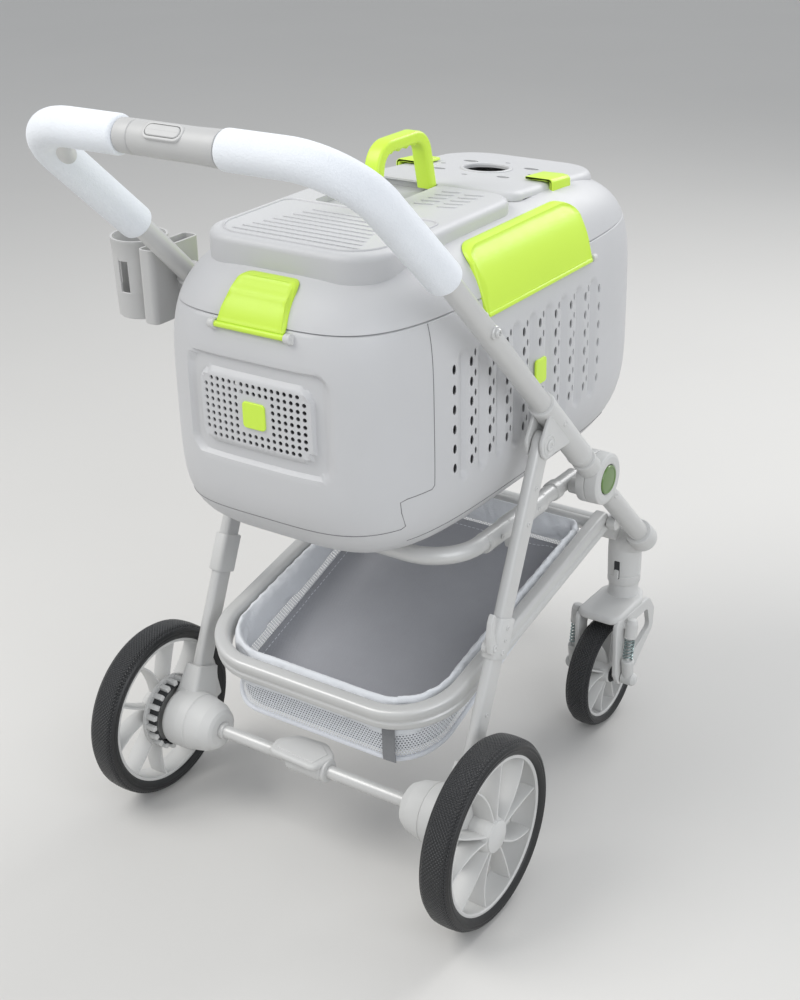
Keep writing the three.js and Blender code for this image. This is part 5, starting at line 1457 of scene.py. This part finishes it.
hatch_shape = outline([(-112, HATCH_REAR), (112, HATCH_REAR), (112, HATCH_FRONT), (-112, HATCH_FRONT)],
                      [26, 26, 62, 62], 12)
hatch_holes = [circle(HATCH_HOLE_RADIUS, 40, (0, HATCH_HOLE_Y))]
for angle, reach_out, a, b in ((40, 60, 11, 6.5), (140, 60, 11, 6.5), (220, 62, 9, 5.5), (320, 62, 9, 5.5),
                               (90, 58, 4, 3), (270, 56, 4, 3), (0, 66, 4, 3), (180, 66, 4, 3)):
    t = math.radians(angle)
    hatch_holes.append(oval(reach_out * math.cos(t), HATCH_HOLE_Y + reach_out * 0.95 * math.sin(t), a, b, 20))
parts = Parts()
for key, wall in (("outer", 0), ("inner", 3.5)):
    shape = inset(hatch_shape, wall)
    flat, triangles, counts = fill(inset(shape, 10 - wall), hatch_holes, 9)
    crown = (lambda a, b: 1.2 * max(0.0, 1 - (a / 100) ** 2) * max(0.0, 1 - ((b - 424) / 112) ** 2))
    top = [vec(a, b, hatch_top(b, wall + 1.2) + crown(a, b)) for a, b in flat]
    edge = 10 - wall
    rows = [[vec(a, b, carrier_top(a, b, 0.5)) for a, b in shape]]
    rows += [[vec(a, b, hatch_top(b, wall + 1.2 + edge - edge * math.sin(t)))
              for a, b in inset(shape, edge * (1 - math.cos(t)))] for t in turns]
    top[:counts[0]] = rows[-1]
    parts.add(grid(rows, False, True)).add((top, triangles, None))
    if key == "outer":
        outer_low, outer_holes, ring_sizes = rows[0], top[counts[0]:sum(counts)], counts[1:]
    else:
        parts.add(grid([outer_low, rows[0]], False, True))
        at = 0
        for size in ring_sizes:
            parts.add(grid([outer_holes[at:at + size], top[counts[0] + at:counts[0] + at + size]], False,
                           True))
            at += size
piece("hatch_shell", parts.verts, parts.faces, "carrier_plastic", "hatch", ("lid_hatch",), None, 42)
ring = [(0, 29), (1.6, 30), (1.9, 32), (0.9, 33.6), (-0.8, 34), (-1, 29)]
piece("hatch_hole_rim", *turned(ring, (0, HATCH_HOLE_Y, hatch_top(HATCH_HOLE_Y)), (0, LEAN, 1), 64,
                                (1, 0, 0), True)[:2],
      "carrier_plastic",
      "hatch")


# ---- carrier: latches and carry handle ----
end_heights = np.linspace(724, 775.5, 40)
for latch, way, node in (("latch_rear", -1, "rear_latch"), ("latch_front", 1, "front_latch")):
    line = [vec(0, carrier_y(0, z, way), z) for z in end_heights]
    runs = lengths(line, False)
    total = runs[-1]

    def end_space(a, b, d, way=way, runs=runs):
        z = float(np.interp(b, runs, end_heights))
        return vec(a, carrier_y(a, z, way, 0.7 + d), z)

    shape = outline([(-47, 4), (47, 4), (39, total), (-39, total)], [3, 3, 13, 13], 8)

    def lip(a, b, total=total):
        half = 47 - 8 * b / total
        near = min(half - abs(a), total - b)
        return 1.6 * ease(1 - near / 5.5) * ease(near / 1.5) + 1.1 * ease(1 - abs(b - total * 0.62) / 9)

    Parts().add(curved_slab(shape, 0, 3.8, end_space, 1.1, 3.6, relief=lip)).make(
        latch, "lime_plastic", node.replace("latch", "clasp"), (node,), 45)
    foot = carrier_y(0, 725, way) + way * 3.2
    pins = Parts().add(turned(soft_profile([(-49, 2), (-49, 3.6), (49, 3.6), (49, 2)], 0.8), (0, foot, 725),
                              (1, 0, 0), 24))
    pins.make(f"{latch}_hinge", "lime_plastic", node.replace("latch", "clasp"))
    clips = Parts()
    for side in (1, -1):
        clips.add(turned(soft_profile([(48.5, 3), (48.5, 5.6), (57, 5.6), (57, 3)] if side > 0 else
                                      [(-48.5, 3), (-48.5, 5.6), (-57, 5.6), (-57, 3)], 1.2),
                         (0, foot, 725), (1, 0, 0), 28))
        base = rectangle(side * 53 - 5, side * 53 + 5, 717.5, 730, 3)
        y_at = carrier_y(53, 724, way) + way * 2
        clips.add(slab(base, -6, 1.5, lambda a, b, d, y_at=y_at, way=way: vec(a, y_at + way * d, b), 1.4, 3))
    clips.make(f"{latch}_clips", "grey_plastic", "lid")

side_heights = np.linspace(712, 786.5, 48)
for name, side in SIDES:
    line = [vec(carrier_x(CARRIER_Y, z, side), 0, z) for z in side_heights]
    runs = lengths(line, False)
    total = runs[-1]

    def latch_space(a, b, d, side=side, runs=runs):
        z = float(np.interp(b, runs, side_heights))
        return vec(carrier_x(a, z, side, 0.7 + d), a, z)

    shape = outline([(136, 0), (384, 0), (384, total), (136, total)], [3, 3, 30, 30], 10)

    def lip(a, b, total=total):
        near = -rounded_distance(a - 260, b - total / 2 + 14, 124, total / 2 + 14, 30)
        near = min(near, 99)
        return 1.5 * ease(1 - near / 6) * ease(near / 1.6) + 0.9 * ease((b - total + 16) / 12)

    Parts().add(curved_slab(shape, 0, 4.0, latch_space, 1.1, 5.0, relief=lip)).make(
        f"latch_{name}", "lime_plastic", f"side_clasp_{name}", (f"side_latch_{name}",), 45)
    hinge_x = carrier_x(CARRIER_Y, 713, side) + side * 3.0
    rod_ends = Parts().add(turned(soft_profile([(138, 2), (138, 3.3), (382, 3.3), (382, 2)], 0.8),
                                  (hinge_x, 0, 712.8), (0, 1, 0), 20))
    rod_ends.make(f"latch_{name}_hinge", "lime_plastic", f"side_clasp_{name}")
    clips = Parts()
    for y in (130, 390):
        clips.add(turned(soft_profile([(-4.5, 2.5), (-4.5, 5), (4.5, 5), (4.5, 2.5)], 1.2),
                         (hinge_x - side * 0.8, y, 713.5), (0, 1, 0), 24))
    clips.make(f"latch_{name}_clips", "grey_plastic", "lid")

    edge = 112.6
    top = PLATFORM_TOP + 0.6
    profile = [(edge - 36, top), (edge - 1, top), (edge, top - 1), (edge, top - 25), (edge + 4.4, top - 25),
               (edge + 5.4, top - 12), (edge + 5, top + 0.5), (edge + 1.5, top + 3.6), (edge - 6, top + 4.6),
               (edge - 34, top + 3.8)]
    profile = outline(profile, [1, 0.5, 0.5, 1, 1.5, 4, 4, 3, 3, 1.2], 4)
    Parts().add(slab([(side * a, b) for a, b in profile], 390, 436,
                     lambda a, b, d: vec(a, d, b - LEAN * (d - HATCH_REAR)), 1.6, 3)).make(
        f"hatch_latch_{name}", "lime_plastic", f"hatch_clasp_{name}", (f"hatch_latch_{name}",), 40)
    clips = Parts()
    for y in (386, 440):
        clips.add(turned(soft_profile([(-3.6, 3), (-3.6, 5.4), (3.6, 5.4), (3.6, 3)], 1.2),
                         (side * (edge + 0.6), y, top - 21 - LEAN * (y - HATCH_REAR)), (0, 1, 0), 24))
    clips.make(f"hatch_latch_{name}_clips", "grey_plastic", "hatch")

handle_line = bent([(0, 166.5, 805.3), (0, 181, 872.4), (0, 271, 872.4), (0, 285.5, 805.3)], 26, 12)
parts = Parts().add(sweep(handle_line, outline([(-11, -7.5), (11, -7.5), (11, 7.5), (-11, 7.5)], 4.2, 5)))
for k in range(4):
    parts.add(turned([(-8, 2), (-6, 4), (6, 4), (8, 2)], (0, 202 + 16 * k, 866.2), (1, 0, 0), 20))
parts.make("lift_handle", "lime_plastic", "handle_loop", ("carry_handle",), 40)


# ---- basket ----
corners = [on_rail(RAIL_X, 436), on_rail(RAIL_X, -1), on_rail(-RAIL_X, -1), on_rail(-RAIL_X, 436)]
rail_line = bent(corners, RAIL_BEND, 18)
half_t, half_h = RAIL_THICKNESS / 2, RAIL_HEIGHT / 2
rail_section = outline([(-half_t, -half_h), (half_t, -half_h), (half_t, -4), (half_t - 2, -2),
                        (half_t - 2, 2),
                        (half_t, 4), (half_t, half_h), (-half_t, half_h)], [6, 6, 1.5, 1.5, 1.5, 1.5, 6, 6],
                       4)
parts = Parts().add(sweep(rail_line, rail_section))
parts.add(tube([on_rail(-RAIL_X + 2, 424), on_rail(RAIL_X - 2, 424)], 8, 28))
for name, side in SIDES:
    screw(parts, on_rail(side * (RAIL_X - half_t), 60), (-side, 0, 0), 3, 1)
    screw(parts, on_rail(side * (RAIL_X + half_t), 436), (side, 0, 0), 0.8, 0.3)
parts.make("rail", "painted_tube", "basket", ("basket_rail",))


def loop(half_x, rear, front, height, rear_radius, front_radius, up=0.0, steps=14):
    """A closed line round the basket at a height given for each y, from the front right corner backwards."""
    ring = outline([(half_x, front), (half_x, rear), (-half_x, rear), (-half_x, front)],
                   [front_radius, rear_radius, rear_radius, front_radius], steps)
    closed = np.vstack([ring, ring[:1]])
    runs = lengths(np.pad(closed, ((0, 0), (0, 1))), False)
    even = np.linspace(0, runs[-1], 181)[:-1]
    line = np.stack([np.interp(even, runs, closed[:, k]) for k in (0, 1)], 1)
    return np.array([vec(a, b, height(b) + up) for a, b in line])


def rail_height(y):
    return float(on_rail(0, y)[2])


def floor_height(y):
    return float(np.interp(y, [20, 400], [160, 290]))


def wave(position, seed, count=5):
    """Slow smooth unevenness round the basket, the same each run."""
    chance = random.Random(seed)
    terms = [(chance.uniform(0.4, 1), k + chance.choice([1, 2, 3]), chance.uniform(0, 6.3))
             for k in range(1, count + 1)]
    return sum(a * math.sin(2 * math.pi * f * position + p) for a, f, p in terms) / count


rounds = 180
top_line = loop(163.5, 13, 411, rail_height, 70, 16, 3)
low_line = loop(158, 17, 400, floor_height, 66, 20, 2)
rows = []
levels_down = 14
for k in range(levels_down + 1):
    t = k / levels_down
    row = []
    for i in range(rounds):
        p = top_line[i] * (1 - t) + low_line[i] * t
        out_way = unit(vec(p[0] / 160, (p[1] - 210) / 200, 0))
        belly = math.sin(math.pi * t) * (1.2 + 1.4 * wave(i / rounds,
                                                          5)) + 0.8 * wave(i / rounds + t * 0.13, 9) * t
        row.append(p + out_way * belly)
    rows.append(row)
drop = lengths([r[90] for r in rows], False)
run = lengths(top_line, True)
verts, faces, _ = grid(rows, False, True)
uv = []
for k in range(levels_down):
    for i in range(rounds):
        uv += [(run[i] / 1000, drop[k] / 1000), (run[i] / 1000, drop[k + 1] / 1000),
               (run[i + 1] / 1000, drop[k + 1] / 1000), (run[i + 1] / 1000, drop[k] / 1000)]
mesh_side = piece("basket_mesh", verts, faces, "white_mesh", "basket", ("basket_bag",), uv, 80)


hem_line = loop(159.5, 15.5, 401.5, floor_height, 66, 20, 1)
hem = piece("basket_hem", *sweep(hem_line, circle(3.0, 10), True, side=(0, 0, 1))[:2], "white_fabric",
            "basket")
strap_x, strap_y = 112, 13.4
strap_rows = []
for t in np.linspace(0, 1, 12):
    z = 222 - 62 * t
    sway = 1.6 * math.sin(math.pi * t) + 0.5 * math.sin(9 * t)
    strap_rows.append([vec(strap_x - 9, strap_y - sway - 1.0, z), vec(strap_x + 9, strap_y - sway - 0.2, z),
                       vec(strap_x + 9, strap_y - sway + 1.2, z), vec(strap_x - 9, strap_y - sway + 0.4, z)])
verts, faces, uv = grid(strap_rows, False, True)
strap = piece("basket_strap", verts, faces + [[0, 1, 2, 3], [44, 45, 46, 47]], "strap_webbing", "basket")

# a grey panel over the floor, which turns up a little at its edges and sags between them
panel_ring = outline([(155, 396), (155, 20), (-155, 20), (-155, 396)], [20, 64, 64, 20], 14)
flat, triangles, counts = fill(panel_ring, [], 9)


def panel_height(a, b):
    edge_gap = -rounded_distance(a, b - 208, 155, 188, 60)
    turned_up = 9.0 * ease(1 - edge_gap / 16)
    sag = 2.2 * ease(edge_gap / 70) * (0.8 + 0.4 * math.sin(a / 47.0) * math.sin(b / 61.0 + 1.3))
    ripple = 1.1 * math.sin((a * 0.8 + b) / 19.0) * math.exp(-((a - 95) ** 2 + (b - 95) ** 2) / 4200.0)
    crease = 0.7 * math.exp(-((a * 0.35 + b - 150) / 9.0) ** 2)
    return floor_height(b) + 1.5 + turned_up - sag * 0.4 + ripple + crease


top = [vec(a, b, panel_height(a, b)) for a, b in flat]
under = [p - vec(0, 0, 2.2) for p in top]
m = len(flat)
ids = list(range(counts[0]))
faces = [list(f) for f in triangles] + [[m + i for i in f[::-1]] for f in triangles]
faces += [[i, (i + 1) % counts[0], m + (i + 1) % counts[0], m + i] for i in ids]
uv = [(a / 1000, b / 1000) for f in faces for a, b in (flat[i % m] for i in f)]
panel = piece("basket_floor_panel", top + under, faces, "grey_fabric", "basket", ("basket_floor",), uv, 60)
seam_rows = inset(panel_ring, 7)
stitch_parts = Parts()
closed = np.vstack([seam_rows, seam_rows[:1]])
runs = lengths(np.pad(closed, ((0, 0), (0, 1))), False)
for at in np.arange(0, runs[-1], 7.0):
    ends = [vec(*(np.interp(at + s, runs, closed[:, k]) for k in (0, 1)), 0) for s in (0, 2.0, 4.2)]
    line = [vec(p[0], p[1], panel_height(p[0], p[1]) + 0.35) for p in ends]
    stitch_parts.add(tube(line, 0.45, 6, side=(0, 0, 1)))
stitch_parts.make("basket_floor_stitches", "white_fabric", "basket")


# the padded band inside the rail: a full loop of thin padding, puffed up by a cloth simulation
def band_shape():
    rows = []
    line = loop(160.0, 16.5, 407, rail_height, 66, 14, 0)
    for i, p in enumerate(line):
        out_way = unit(vec(p[0] / 160, (p[1] - 210) / 200, 0))
        depth = 46 - 16 * ease((p[1] - 60) / 300)
        pinch = 1 + 0.10 * wave(i / rounds, 21)
        section = [(2.6, 12), (0.5, 14.5), (-3.0, 13.5), (-5.4, 6), (-6.2, -depth * 0.45),
                   (-4.6, -depth * 0.9),
                   (-2.0, -depth), (1.2, -depth * 0.96), (2.2, -depth * 0.45), (2.6, 0)]
        rows.append([p + out_way * a * pinch + vec(0, 0, b) for a, b in section])
    return grid(rows, True, True)


verts, faces, _ = band_shape()
band = piece("basket_band", verts, faces, "padded_fabric", "basket", (), None, 80)


def puff(made, voxel, pressure, most, tension=15):
    """Swell a padded piece with a short cloth simulation, and keep every point near where it began."""
    remesh = made.modifiers.new("remesh", "REMESH")
    remesh.mode = "VOXEL"
    remesh.voxel_size = voxel
    depsgraph = bpy.context.evaluated_depsgraph_get()
    fine = bpy.data.meshes.new_from_object(made.evaluated_get(depsgraph))
    made.modifiers.clear()
    look = made.data.materials[0]
    made.data = fine
    fine.materials.clear()
    fine.materials.append(look)
    start = np.empty(len(fine.vertices) * 3)
    fine.vertices.foreach_get("co", start)
    start = start.reshape(-1, 3)
    heights = start[:, 2] - np.array([rail_height(y) / 1000 for y in (start[:, 1] - ORIGIN[1]) * 1000])
    pinned = made.vertex_groups.new(name="pinned")
    pinned.add([int(i) for i in np.where(heights > 0.009)[0]], 1.0, "REPLACE")
    cloth = made.modifiers.new("cloth", "CLOTH")
    settings = cloth.settings
    settings.vertex_group_mass = "pinned"
    settings.use_pressure = True
    settings.uniform_pressure_force = pressure
    settings.effector_weights.gravity = 0
    settings.tension_stiffness = tension
    settings.bending_stiffness = 0.25
    settings.shrink_min = -0.035
    cloth.point_cache.frame_start, cloth.point_cache.frame_end = 1, 20
    for number in range(1, 21):
        scene.frame_set(number)
    depsgraph = bpy.context.evaluated_depsgraph_get()
    swollen = np.array([v.co[:] for v in made.evaluated_get(depsgraph).to_mesh().vertices])
    made.modifiers.clear()
    scene.frame_set(1)
    move = swollen - start
    far = np.linalg.norm(move, axis=1, keepdims=True)
    move *= np.minimum(1, most / np.maximum(far, 1e-9))
    fine.vertices.foreach_set("co", (start + move).ravel())
    fine.shade_smooth()
    made.modifiers.new("smooth", "SUBSURF").levels = 1
    made.modifiers["smooth"].render_levels = 1
    depsgraph = bpy.context.evaluated_depsgraph_get()
    final = bpy.data.meshes.new_from_object(made.evaluated_get(depsgraph))
    made.modifiers.clear()
    made.data = final


puff(band, 0.0045, 4.0, 0.0045)


size = {"cad": [list(corner) for corner in cad_box], "visual": [list(corner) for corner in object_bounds()]}
